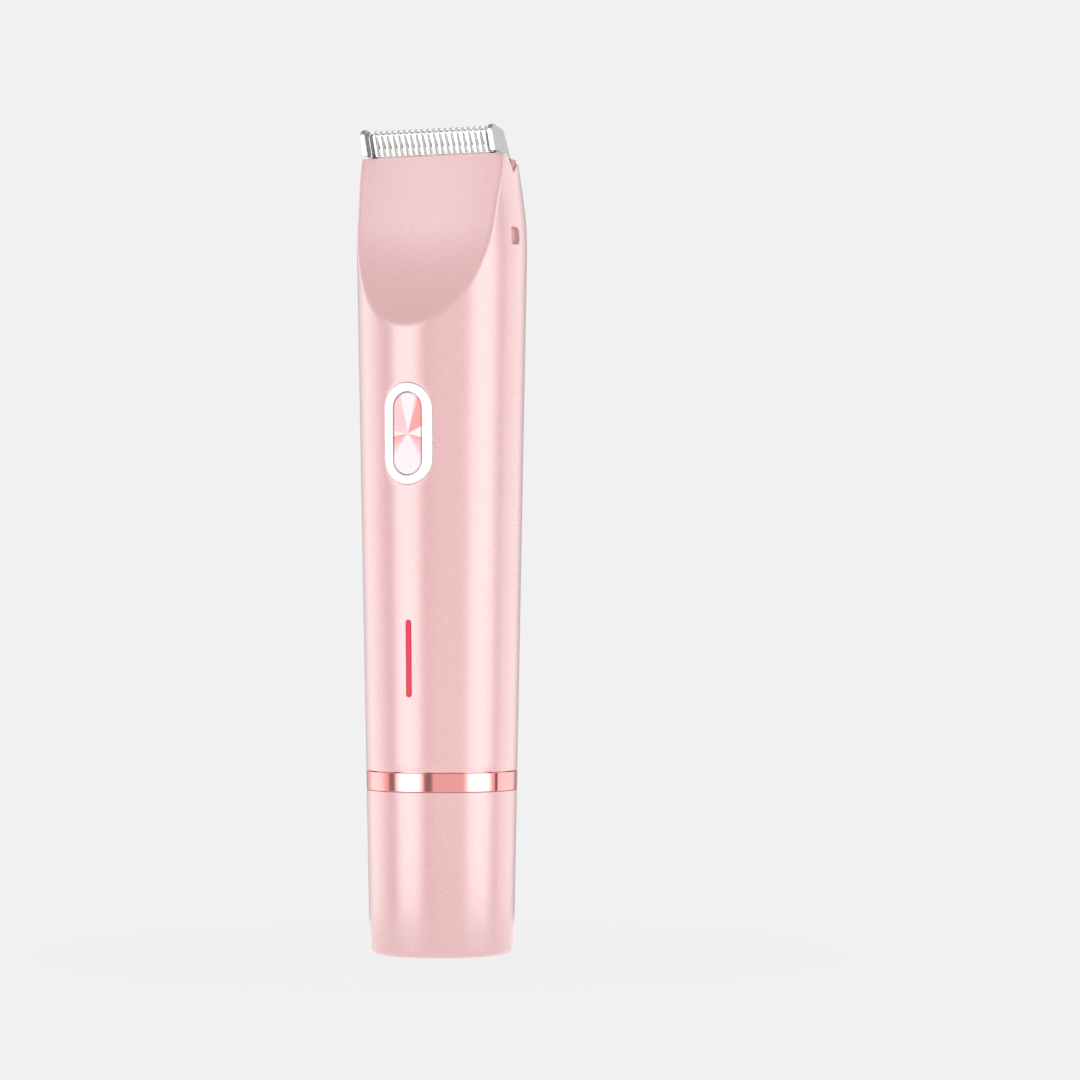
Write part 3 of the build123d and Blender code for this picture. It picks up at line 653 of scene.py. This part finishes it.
class Opening:
    """A block of the shell's grid that a feature is cut through, and how the feature is seen square on."""

    def __init__(self, facing, u_low, u_high, v_low, v_high):
        self.facing = facing
        self.centre = np.array((0, (v_low + v_high) / 2))
        radius = cone_radius((v_low + v_high) / 2)
        self.left = facing + math.asin(u_low / radius)
        self.right = facing + math.asin(u_high / radius)
        self.v_low, self.v_high = v_low, v_high

    def find(self, angles, heights):
        """Nearest columns and rows of the grid."""
        gap = lambda turn: np.argmin(np.abs((angles - turn + math.pi) % (2 * math.pi) - math.pi))
        self.first, self.last = int(gap(self.left)), int(gap(self.right))
        self.bottom = int(np.argmin(np.abs(heights - self.v_low)))
        self.top = int(np.argmin(np.abs(heights - self.v_high)))
        self.across, self.upward = self.last - self.first, self.top - self.bottom

    def holds(self, row, column):
        return self.bottom <= row < self.top and self.first <= column < self.last

    def loop(self, rows):
        """The block's edge, anticlockwise from its lower left corner, out of rings in order of height."""
        made = [rows[self.bottom][c] for c in range(self.first, self.last)]
        made += [rows[r][self.last] for r in range(self.bottom, self.top)]
        made += [rows[self.top][c] for c in range(self.last, self.first, -1)]
        return made + [rows[r][self.first] for r in range(self.top, self.bottom, -1)]

    def flat(self, skin, ring):
        """(u, v) of a ring's points."""
        points = np.array([skin.points[i] for i in ring])
        u = points[:, 0] * math.cos(self.facing) + points[:, 1] * math.sin(self.facing)
        return np.stack([u, points[:, 2]], axis=-1)


def column_angles():
    fine = np.radians(np.linspace(-108, 108, 289))
    rear = np.radians(np.linspace(110.4, 249.6, 59))
    return np.concatenate([fine, rear])


def row_heights(stops):
    """Heights between stops, each a (height, step) where the step holds up to the next stop."""
    made = []
    for (start, step), (end, _) in zip(stops, stops[1:]):
        made.append(np.linspace(start, end, max(1, round((end - start) / step)), endpoint=False))
    return np.concatenate(made + [[stops[-1][0]]])


def rim_height(y):
    line = np.array(rounded(RIM, closed=False, steps=8))
    return np.interp(y, line[:, 0], line[:, 1])


def pocket_radius(angle):
    """Distance from the axis to the cartridge pocket's wall."""
    sine, cosine = np.abs(np.sin(angle)), np.cos(angle)
    rear = 1 / np.hypot(sine / POCKET_SIDE, cosine / POCKET_REAR)
    front = np.minimum(POCKET_SIDE / np.maximum(sine, 1e-6), POCKET_FRONT / np.maximum(cosine, 1e-6))
    return np.where(cosine > 0, front, rear)


def slot_radius(angle):
    """Distance from the axis to the edge of the stem's slot in the deck."""
    sine, cosine = np.abs(np.sin(angle)), np.abs(np.cos(angle))
    flat = SLOT_RADIUS / np.maximum(cosine, 1e-6)
    end = SLOT_STRAIGHT * sine + np.sqrt(SLOT_RADIUS ** 2 - (SLOT_STRAIGHT * cosine) ** 2)
    return np.where(flat * sine <= SLOT_STRAIGHT, flat, end)


def top_line(angles):
    """Height at which each column of the shell meets the rim's outline."""
    top = np.full(len(angles), 154.0)
    for _ in range(40):
        wanted = rim_height(-skin_radius(angles, top) * np.cos(angles))
        top = (top + wanted) / 2
    return top


def outer_rings(skin, angles, heights):
    """Rings from the lower lip up the outside and over the rim to the top of the pocket's wall."""
    lip = []
    for turn in (0, math.pi / 4):
        z = SHELL_LOW + EDGE * (1 - math.cos(turn))
        radius = skin_radius(angles, z) - EDGE * (1 - math.sin(turn))
        lip.append(skin.ring(polar(angles, radius, z)))
    rows = [skin.ring(polar(angles, skin_radius(angles, z), z)) for z in heights]
    top = top_line(angles)
    drape = []
    for share in np.linspace(0, 1, 16)[1:]:
        z = DRAPE_FROM + (top - RIM_EDGE - DRAPE_FROM) * share
        drape.append(skin.ring(polar(angles, skin_radius(angles, z), z)))
    shoulder = skin_radius(angles, top - RIM_EDGE)
    for grow, sink in quarter(RIM_EDGE):
        drape.append(skin.ring(polar(angles, shoulder - sink, top + grow)))
    wall = pocket_radius(angles)
    crest = rim_height(-(wall + RIM_EDGE) * np.cos(angles))
    for turn in (0, math.pi / 4, math.pi / 2):
        radius = wall + RIM_EDGE * (1 - math.sin(turn))
        drape.append(skin.ring(polar(angles, radius, crest - RIM_EDGE * (1 - math.cos(turn)))))
    return lip, rows, drape


def inner_rings(skin, angles, heights):
    """Rings down the pocket, across the deck, through its slot and down the inside."""
    pocket = [skin.ring(polar(angles, pocket_radius(angles), z)) for z in (150.0, 147.0, DECK_HIGH)]
    slot = [skin.ring(polar(angles, slot_radius(angles), z)) for z in (DECK_HIGH, DECK_LOW)]
    above = np.linspace(DECK_LOW, heights[-1], 9, endpoint=False)
    descent = []
    for z in list(above) + list(heights[::-1]):
        descent.append(skin.ring(polar(angles, skin_radius(angles, z, WALL, SCOOP_WALL), z)))
    return pocket + slot, descent[:len(above)], descent[len(above):]


def edge_rings(skin, opening, start, outline, edge):
    """Rings from a block's edge to an opening, then round its edge, in that order."""
    flat = opening.flat(skin, start)
    target = outline(edge) + opening.centre
    rings = [start]
    for share in (0.3, 0.65, 1.0):
        u, v = (flat + (target - flat) * share).T
        rings.append(skin.ring(on_form(opening.facing, u, v)))
    for grow, sink in quarter(edge):
        u, v = (outline(-grow) + opening.centre).T
        rings.append(skin.ring(on_form(opening.facing, u, v, sink)))
    return rings


def cut_through(skin, opening, rows, inner_rows, outline, steps, edge=EDGE):
    """An opening right through the wall, by (outline, inset) steps below its softened edge."""
    rings = edge_rings(skin, opening, opening.loop(rows), outline, edge)
    for shape, inset in steps:
        u, v = (shape + opening.centre).T
        rings.append(skin.ring(on_form(opening.facing, u, v, inset)))
    skin.stack(rings + [opening.loop(inner_rows)])


def cut_grip(skin, opening, rows, outline):
    """A blind pocket with a flat floor."""
    rings = edge_rings(skin, opening, opening.loop(rows), outline, EDGE)
    for grow, rise in ((0, 0.3), (-0.09, 0.09), (-0.3, 0.0)):
        u, v = (outline(grow) + opening.centre).T
        rings.append(skin.ring(at_depth(opening.facing, u, v, np.full_like(u, GRIP_DEEP + rise))))
    skin.stack(rings)
    skin.cover(rings[-1])


def grid_faces(skin, rows, openings):
    for row, (one, two) in enumerate(zip(rows, rows[1:])):
        count = len(one)
        for column in range(count):
            if not any(o.holds(row, column) for o in openings):
                after = (column + 1) % count
                skin.faces.append((one[column], one[after], two[after], two[column]))


def make_shell():
    angles = column_angles()
    stops = [(SHELL_LOW + EDGE, 2.2), (LIGHT_Z - 9.2, 1.3), (PORT_Z - 4.9, 0.65), (PORT_Z + 4.9, 2.0),
             (BUTTON_Z - 13.2, 1.3), (BUTTON_Z + 13.2, 1.6), (FINE_FROM, 0.33), (DRAPE_FROM, 1)]
    heights = row_heights(stops)
    shared = int(np.argmin(np.abs(heights - FINE_FROM))) + 1
    light = Opening(FRONT, -2.2, 2.2, LIGHT_Z - 9.2, LIGHT_Z + 9.1)
    bezel = Opening(FRONT, -6.6, 6.6, BUTTON_Z - 12.0, BUTTON_Z + 12.0)
    port = Opening(REAR, -8.2, 8.2, PORT_Z - 4.3, PORT_Z + 4.3)
    margin = 1.3
    grip_rows = (GRIP_LOW - margin, GRIP_HIGH + margin)
    grips = [Opening(RIGHT, GRIP_FRONT - margin, GRIP_REAR + margin, *grip_rows),
             Opening(LEFT, -GRIP_REAR - margin, -GRIP_FRONT + margin, *grip_rows)]
    skin = Skin()
    lip, rows, drape = outer_rings(skin, angles, heights)
    deck, above, below = inner_rings(skin, angles, heights[:shared])
    for opening in [light, bezel, port] + grips:
        opening.find(angles, heights)
    grid_faces(skin, rows, [light, bezel, port] + grips)
    inner_rows = below[::-1]
    grid_faces(skin, inner_rows, [light, bezel, port])
    skin.stack(lip + [rows[0]])
    skin.stack([rows[-1]] + drape + deck + above + [below[0]])
    skin.bridge(below[-1], lip[0])
    for opening, height in ((light, LIGHT_Z), (bezel, BUTTON_Z), (port, PORT_Z)):
        opening.centre = np.array((0, height))
    bar_outline = growing(LIGHT_LENGTH, LIGHT_WIDTH, False, light.across, light.upward)
    cut_through(skin, light, rows, inner_rows, bar_outline, [(bar_outline(0), WALL)], 0.08)
    oval = growing(BEZEL_LENGTH + BEZEL_GAP, BEZEL_WIDTH + BEZEL_GAP, False, bezel.across, bezel.upward)
    cut_through(skin, bezel, rows, inner_rows, oval, [(oval(0), WALL)])
    recess = growing(PORT_LENGTH, PORT_HEIGHT, True, port.across, port.upward)
    mouth = stadium(MOUTH_LENGTH, MOUTH_HEIGHT, True, port.across, port.upward)
    port_steps = [(recess(0), PORT_RECESS), (mouth, PORT_RECESS), (mouth, WALL)]
    cut_through(skin, port, rows, inner_rows, recess, port_steps)
    middle = (GRIP_FRONT + GRIP_REAR) / 2
    for opening, sign in zip(grips, (1, -1)):
        opening.centre = np.array((sign * middle, (GRIP_LOW + GRIP_HIGH) / 2))
        toward = opening.flat(skin, opening.loop(rows)) - opening.centre
        cut_grip(skin, opening, rows, grip_outline(sign, toward))
    skin.piece("shell_moulding", "handle", "pearl_pink", ["main_shell"])


# Turned pieces -----

def make_cap():
    """Cap, with the lip that goes up inside the ring and ribs beside the shaver head."""
    inner, lip, floor, lip_top = 13.0, 13.67, 2.0, high("cap", Z)
    ribs, rib_half, rib_in, rib_out, rib_low, rib_high = 6, 0.6, 12.86, 13.2, 24.0, 31.0
    skin = Skin()
    profile = rounded([(0, 0, 0), (BASE_RADIUS, 0, 1.0), (cone_radius(CAP_TOP), CAP_TOP, EDGE),
                       (lip, CAP_TOP, 0.06), (lip, lip_top, 0.2), (inner, lip_top, 0.15), (inner, floor, 1.0),
                       (0, floor, 0)], closed=False)
    turned(skin, profile, closed=False, count=320)
    plan = np.array(rounded([(-rib_half, rib_in, 0.2), (rib_half, rib_in, 0.2), (rib_half, rib_out, 0),
                             (-rib_half, rib_out, 0)], steps=3))
    for k in range(ribs):
        turn = math.pi / 2 + k * 2 * math.pi / ribs
        skin.tube_of([at_depth(turn, plan[:, 0], z, plan[:, 1]) for z in (rib_low, rib_high)])
    skin.piece("cap_cup", "cap", "pearl_pink", ["cap"])


def make_accent_ring():
    skin = Skin()
    profile = rounded([(cone_radius(RING_LOW), RING_LOW, 0.14), (cone_radius(RING_TOP), RING_TOP, 0.14),
                       (13.2, RING_TOP, 0), (13.2, 38.5, 0.1), (12.55, 38.5, 0.1), (12.55, 35.8, 0),
                       (12.35, 35.8, 0), (12.35, 34.7, 0), (13.75, 34.7, 0), (13.75, RING_LOW, 0.1)])
    turned(skin, profile, count=320)
    skin.piece("plated_ring", "handle", "rose_gold", ["accent_ring"])


def make_neck():
    wide, narrow = 12.25, 11.12
    skin = Skin()
    profile = rounded([(8.5, 24, 0.3), (narrow, 24, 0.5), (narrow, 27, 0.05), (10.3, 27, 0.1),
                       (10.3, 28, 0.1), (narrow, 28, 0.05), (narrow, 30.7, 0.1), (wide, 30.7, 0.15),
                       (wide, 33.9, 0.2), (12.9, 33.9, 0.1), (12.9, 34.6, 0.1), (wide, 34.6, 0.1),
                       (wide, 36.7, 0), (11.6, 36.7, 0.1), (11.6, 37.7, 0.1), (wide, 37.7, 0),
                       (wide, 40, 0.1), (11.0, 40, 0), (11.0, 36.6, 0.2), (3.05, 36.6, 0.1), (3.05, 34.7, 0),
                       (3.25, 34.7, 0), (3.25, 33.5, 0.1), (8.5, 33.5, 0.3)], steps=3)
    turned(skin, profile)
    skin.piece("neck_moulding", "handle", "clear_pink", ["neck_collar"])


def make_head_housing():
    foot, top = low("head_housing", Z), high("head_housing", Z)
    skin = Skin()
    profile = rounded([(12.75, top, 0.15), (12.3, foot, 1.8), (9.75, foot, 0.2), (9.75, 17.9, 0),
                       (11.2, 17.9, 0), (11.2, top, 0.1)], steps=8)
    turned(skin, profile)
    skin.piece("head_cup", "shaver_head", "pearl_pink", ["head_housing"])


def make_foil():
    """Thin drawn disc with slots that wrap over its edge: a sheet, thickened inwards."""
    slots, half_slot, slot_from, slot_to = 90, 0.15, 7.3, 16.1
    face, radius, thick, soft = low("shaver_foil", Z), 9.65, 0.15, 0.9
    cup_end, flange, flange_radius = 17.2, 17.95, 10.9
    path = [(1.2, face), (2.6, face), (4.5, face), (6.2, face), (slot_from, face), (8.0, face)]
    for k in range(6):
        turn = math.pi / 2 * k / 5
        path.append((radius - soft * (1 - math.sin(turn)), face + soft * (1 - math.cos(turn))))
    path += [(radius, slot_to), (radius, cup_end), (radius, flange), (flange_radius, flange)]
    rings, skin = [], Skin()
    for distance, height in path:
        reach = max(distance, slot_from)
        lean = math.asin(half_slot / reach)
        turns = []
        for k in range(slots):
            centre = 2 * math.pi * k / slots
            turns += [centre - lean, centre + lean, centre + math.pi / slots]
        rings.append(skin.ring(polar(np.array(turns), distance, height)))
    cut_from, cut_to = path.index((slot_from, face)), path.index((radius, slot_to))
    for row, (one, two) in enumerate(zip(rings, rings[1:])):
        for column in range(len(one)):
            if not (cut_from <= row < cut_to and column % 3 == 0):
                after = (column + 1) % len(one)
                skin.faces.append((one[column], one[after], two[after], two[column]))
    skin.cover(rings[0])
    foil = skin.piece("foil_disc", "shaver_head", "foil_steel", ["shaver_foil"])
    solid = foil.modifiers.new("sheet", "SOLIDIFY")
    solid.thickness = thick * MM
    solid.offset = -1
    foil.modifiers.move(1, 0)


# Front features -----

class Plate(Skin):
    """A skin of outlines about one height, each on the form less an inset or at one depth."""

    def __init__(self, centre_z, facing):
        super().__init__()
        self.centre_z, self.facing = centre_z, facing
        self.rings = []

    def add(self, outline, inset=None, depth=None):
        u, v = outline[:, 0], outline[:, 1] + self.centre_z
        if depth is None:
            self.rings.append(self.ring(on_form(self.facing, u, v, inset)))
        else:
            self.rings.append(self.ring(at_depth(self.facing, u, v, np.full_like(u, depth))))


def make_bezel():
    """White oval surround, slightly proud of the shell, with its flange behind the wall."""
    outer = growing(BEZEL_LENGTH, BEZEL_WIDTH, False, 56, 10)
    inner = growing(BUTTON_LENGTH + BUTTON_GAP, BUTTON_WIDTH + BUTTON_GAP, False, 56, 10)
    edge, flange_back, flange_front, step = 0.22, 12.5, 13.1, 14.6
    skin = Plate(BUTTON_Z, FRONT)
    skin.add(outer(0), depth=flange_front)
    for drop, shrink in quarter(edge, (0, *ROUNDING)):
        skin.add(outer(-shrink), inset=-(BEZEL_PROUD + drop))
    for share in (0.25, 0.5, 0.75):
        blend = outer(-edge) * (1 - share) + inner(edge) * share
        crown = BEZEL_PROUD + 0.04 * math.sin(math.pi * share)
        skin.add(blend, inset=-crown)
    for shrink, drop in quarter(edge, (0, *ROUNDING)):
        skin.add(inner(-shrink), inset=-(BEZEL_PROUD - drop))
    for shape, depth in ((inner(0), step), (inner(0.8), step), (inner(0.8), flange_back),
                         (outer(0.9), flange_back), (outer(0.9), flange_front)):
        skin.add(shape, depth=depth)
    skin.stack(skin.rings, closed=True)
    skin.piece("button_surround", "handle", "white_gloss", ["button_bezel"])


def make_button():
    """Metal key with a softly dished face, a flange that keeps it in and a stem for the switch."""
    edge, dish, face, flange_front, flange_back = 0.25, 0.16, -BUTTON_FACE, 14.45, 13.8
    half, soft, stem_from, stem_to = 0.9, 0.89, 13.9, 12.65
    outline = growing(BUTTON_LENGTH, BUTTON_WIDTH, False, 56, 24)
    skin = Plate(BUTTON_Z, FRONT)
    for share in (0.04, 0.2, 0.4, 0.6, 0.8, 1.0):
        sink = dish * (1 - share ** 2)
        skin.add(outline(-edge) * share, depth=face - sink)
    for grow, sink in quarter(edge):
        skin.add(outline(grow), depth=face - sink)
    for grow, depth in ((0, flange_front), (0.7, flange_front), (0.7, flange_back)):
        skin.add(outline(grow), depth=depth)
    skin.stack(skin.rings)
    skin.cover(skin.rings[0], skin.rings[-1])
    stem = rounded([(-half, -half, soft), (half, -half, soft), (half, half, soft), (-half, half, soft)],
                   steps=8)
    skin.tube_of([[(x, -depth, BUTTON_Z + z) for x, z in stem] for depth in (stem_from, stem_to)])
    skin.piece("button_key", "power_button", "button_metal", ["power_button"])


def make_light_guide():
    """Red bar, flush with the shell, with a flange behind the wall."""
    edge, slack, flange_front, flange_back = 0.2, 0.03, 13.3, 12.55
    outline = growing(LIGHT_LENGTH - 2 * slack, LIGHT_WIDTH - 2 * slack, False, 20, 16)
    skin = Plate(LIGHT_Z, FRONT)
    for grow in (-0.45, -edge):
        skin.add(outline(grow), inset=0)
    for grow, sink in quarter(edge):
        skin.add(outline(grow), inset=sink)
    for grow, depth in ((0, flange_front), (1, flange_front), (1, flange_back)):
        skin.add(outline(grow), depth=depth)
    skin.stack(skin.rings)
    skin.cover(skin.rings[0], skin.rings[-1])
    skin.piece("light_bar", "handle", "red_light", ["light_guide"])


def make_port_plug():
    """Soft cover, flush with the shell, with a hollow tongue for the socket."""
    edge, back, tip = 0.3, PORT_RECESS - 0.03, 11.0
    lid = growing(PORT_LENGTH - PORT_GAP, PORT_HEIGHT - PORT_GAP, True, 24, 24)
    tongue = growing(8.14, 2.46, True, 24, 24)
    skin = Plate(PORT_Z, REAR)
    for share in (0.1, 0.4, 0.7, 1.0):
        skin.add(lid(-edge) * share, inset=0)
    for grow, sink in quarter(edge):
        skin.add(lid(grow), inset=sink)
    for shape in (lid(0), tongue(0)):
        skin.add(shape, inset=back)
    for grow, depth in ((0, tip), (-0.1, tip - 0.1), (-0.55, tip - 0.1), (-0.55, 14.0)):
        skin.add(tongue(grow), depth=depth)
    skin.stack(skin.rings)
    skin.cover(skin.rings[0], skin.rings[-1])
    skin.piece("port_cover", "port_plug", "pink_silicone", ["port_plug"])


# Comb -----

def sheet_lines():
    """Outer and inner (y, z) lines of the bent comb sheet, with the same number of points."""
    outer = rounded([(-4.8, COMB_FOOT, 0), (-6.95, 161.2, 1.3), (-2.1, 160.8, 1.0), (1.15, COMB_FOOT, 0)],
                    closed=False, steps=7)
    inner = rounded([(-4.58, COMB_FOOT, 0), (-6.2, 160.5, 0.8), (-2.6, 160.1, 0.6), (0.18, COMB_FOOT, 0)],
                    closed=False, steps=7)
    return split_runs(outer), split_runs(inner)


def split_runs(line, longest=1.0, pieces=3):
    """Line with its long runs divided, so that both lines are divided alike."""
    made = [line[0]]
    for one, two in zip(line, line[1:]):
        count = pieces if math.dist(one, two) > longest else 1
        made += [tuple(a + (b - a) * k / count for a, b in zip(one, two)) for k in range(1, count + 1)]
    return made


def tooth(skin, centre, width, outer, inner):
    """One tooth: a strip bent over the blade, with its long edges softened."""
    half, soft = width / 2, min(0.1, width / 5)
    rings = []
    for out, back in zip(outer, inner):
        thick = math.dist(out, back)
        near = min(soft / thick, 0.35)
        far = 1 - near
        ring = []
        for x, share in ((-half + soft, 0), (half - soft, 0), (half, near), (half, far),
                         (half - soft, 1), (-half + soft, 1), (-half, far), (-half, near)):
            y, z = (a + (b - a) * share for a, b in zip(out, back))
            ring.append((centre + x, y, z))
        rings.append(ring)
    skin.tube_of(rings)


def bar(skin, x_half, corners, soft=0.06):
    """A bar along X with a (y, z) section, its ends and its corners softened."""
    line = rounded(corners, steps=4)
    middle = (sum(y for y, _ in line) / len(line), sum(z for _, z in line) / len(line))
    rings = []
    for x, shrink in ((-x_half, soft), (-x_half + soft * 0.4, soft * 0.3), (-x_half + soft, 0),
                      (x_half - soft, 0), (x_half - soft * 0.4, soft * 0.3), (x_half, soft)):
        ring = []
        for y, z in line:
            away = math.dist((y, z), middle)
            share = 1 - shrink / away
            ring.append((x, middle[0] + (y - middle[0]) * share, middle[1] + (z - middle[1]) * share))
        rings.append(ring)
    skin.tube_of(rings)


def make_comb():
    outer, inner = sheet_lines()
    skin = Skin()
    middle = (TOOTH_GAPS - 1) / 2
    width = TOOTH_PITCH - GAP_WIDTH
    for i in range(TOOTH_GAPS - 1):
        tooth(skin, (i + 0.5 - middle) * TOOTH_PITCH, width, outer, inner)
    end_inner = middle * TOOTH_PITCH + GAP_WIDTH / 2
    for side in (-1, 1):
        tooth(skin, side * (end_inner + COMB_HALF) / 2, COMB_HALF - end_inner, outer, inner)
    bar(skin, COMB_HALF,
        [(-4.75, 156.0, 0.02), (-4.72, 156.09, 0.03), (-4.6, 156.09, 0.03), (-4.55, 156.0, 0.02)], soft=0.03)
    bar(skin, COMB_HALF, [(0.5, 155.97, 0.05), (0.05, 157.2, 0.1), (0.44, 157.2, 0.1), (1.1, 156.0, 0.05)])
    bar(skin, 13.1, [(0.6, 155.95, 0.05), (0.6, 156.35, 0.1), (2.7, 156.35, 0.12), (2.7, 155.95, 0.05)])
    skin.piece("comb_teeth", "cartridge", "comb_steel", ["comb"])


def make_guards():
    """Grey end plates that stand a little higher than the teeth."""
    thick, offset, heel, heel_y, step_y = 1.0, COMB_HALF + 0.51, 154.95, 1.4, -3.9
    profile = [(GUARD_FOOT_Y, COMB_FOOT, 0.3), (GUARD_TOP_Y, GUARD_TOP_Z, 1.3), (-2.1, 160.4, 1.0),
               (heel_y, 155.4, 0.3), (heel_y, heel, 0.1), (step_y, heel, 0.1), (step_y, COMB_FOOT, 0)]
    skin = Skin()
    for side in (-1, 1):
        guard_plate(skin, profile, side * offset, thick)
    skin.piece("end_guards", "cartridge", "guard_grey", ["comb_guards"])


def guard_plate(skin, profile, centre, thick):
    """A plate whose rim is rounded by moving each edge ring in along the outline's own normals."""
    soft = 0.16
    line = np.array(rounded(profile, steps=9))
    ahead, back = np.roll(line, -1, axis=0) - line, line - np.roll(line, 1, axis=0)
    unit = lambda v: v / np.linalg.norm(v, axis=1)[:, None]
    along = unit(unit(ahead) + unit(back))
    inward = np.stack([along[:, 1], -along[:, 0]], axis=-1)
    rings = []
    for side in (-1, 1):
        stages = [(0.0, soft), (0.3 * soft, 0.35 * soft), (soft, 0.0)]
        for from_face, shrink in stages if side < 0 else stages[::-1]:
            x = centre + side * (thick / 2 - from_face)
            rings.append([(x, y, z) for y, z in line + inward * shrink])
    skin.tube_of(rings)


def make_ceramic_blade():
    """White moving blade: a leaning plate with its teeth cut down from the top."""
    foot, top, slot_foot, half = 155.0, 159.75, 157.5, high("ceramic_blade", X)
    front_foot, thick, lean, slot_half, overlap = -3.76, 0.7, 0.408, 0.35, 0.2
    middle = (TOOTH_GAPS - 1) / 2
    stops = [-half]
    for i in range(1, TOOTH_GAPS - 1):
        centre = (i - middle) * TOOTH_PITCH
        stops += [centre - slot_half, centre + slot_half]
    stops.append(half)
    skin = Skin()
    plate_tooth(skin, -half, half, foot, slot_foot, front_foot, foot, thick, lean)
    for start, end in zip(stops[::2], stops[1::2]):
        plate_tooth(skin, start, end, slot_foot - overlap, top, front_foot, foot, thick, lean)
    skin.piece("blade_plate", "moving_blade", "white_ceramic", ["ceramic_blade"])


def plate_tooth(skin, x_low, x_high, z_low, z_high, front, foot, thick, lean):
    """A leaning block with softened upright edges and top."""
    soft = 0.06
    plan = rounded([(x_low, 0, soft), (x_high, 0, soft), (x_high, thick, soft), (x_low, thick, soft)],
                   steps=3)
    middle_x, middle_y = (x_low + x_high) / 2, thick / 2
    rings = []
    for z, shrink in ((z_low, 0), (z_high - soft, 0), (z_high - 0.3 * soft, 0.35 * soft), (z_high, soft)):
        ring = []
        for x, y in plan:
            x -= math.copysign(shrink, x - middle_x)
            y -= math.copysign(shrink, y - middle_y)
            ring.append((x, front + y - lean * (z - foot), z))
        rings.append(ring)
    skin.tube_of(rings)


# The scene -----

make_camera()
make_world()
make_floor()
bpy.context.scene.view_settings.view_transform = "Standard"
make_materials()
dress_cad_nodes()
make_shell()
make_cap()
make_accent_ring()
make_neck()
make_head_housing()
make_foil()
make_bezel()
make_button()
make_light_guide()
make_port_plug()
make_comb()
make_guards()
make_ceramic_blade()
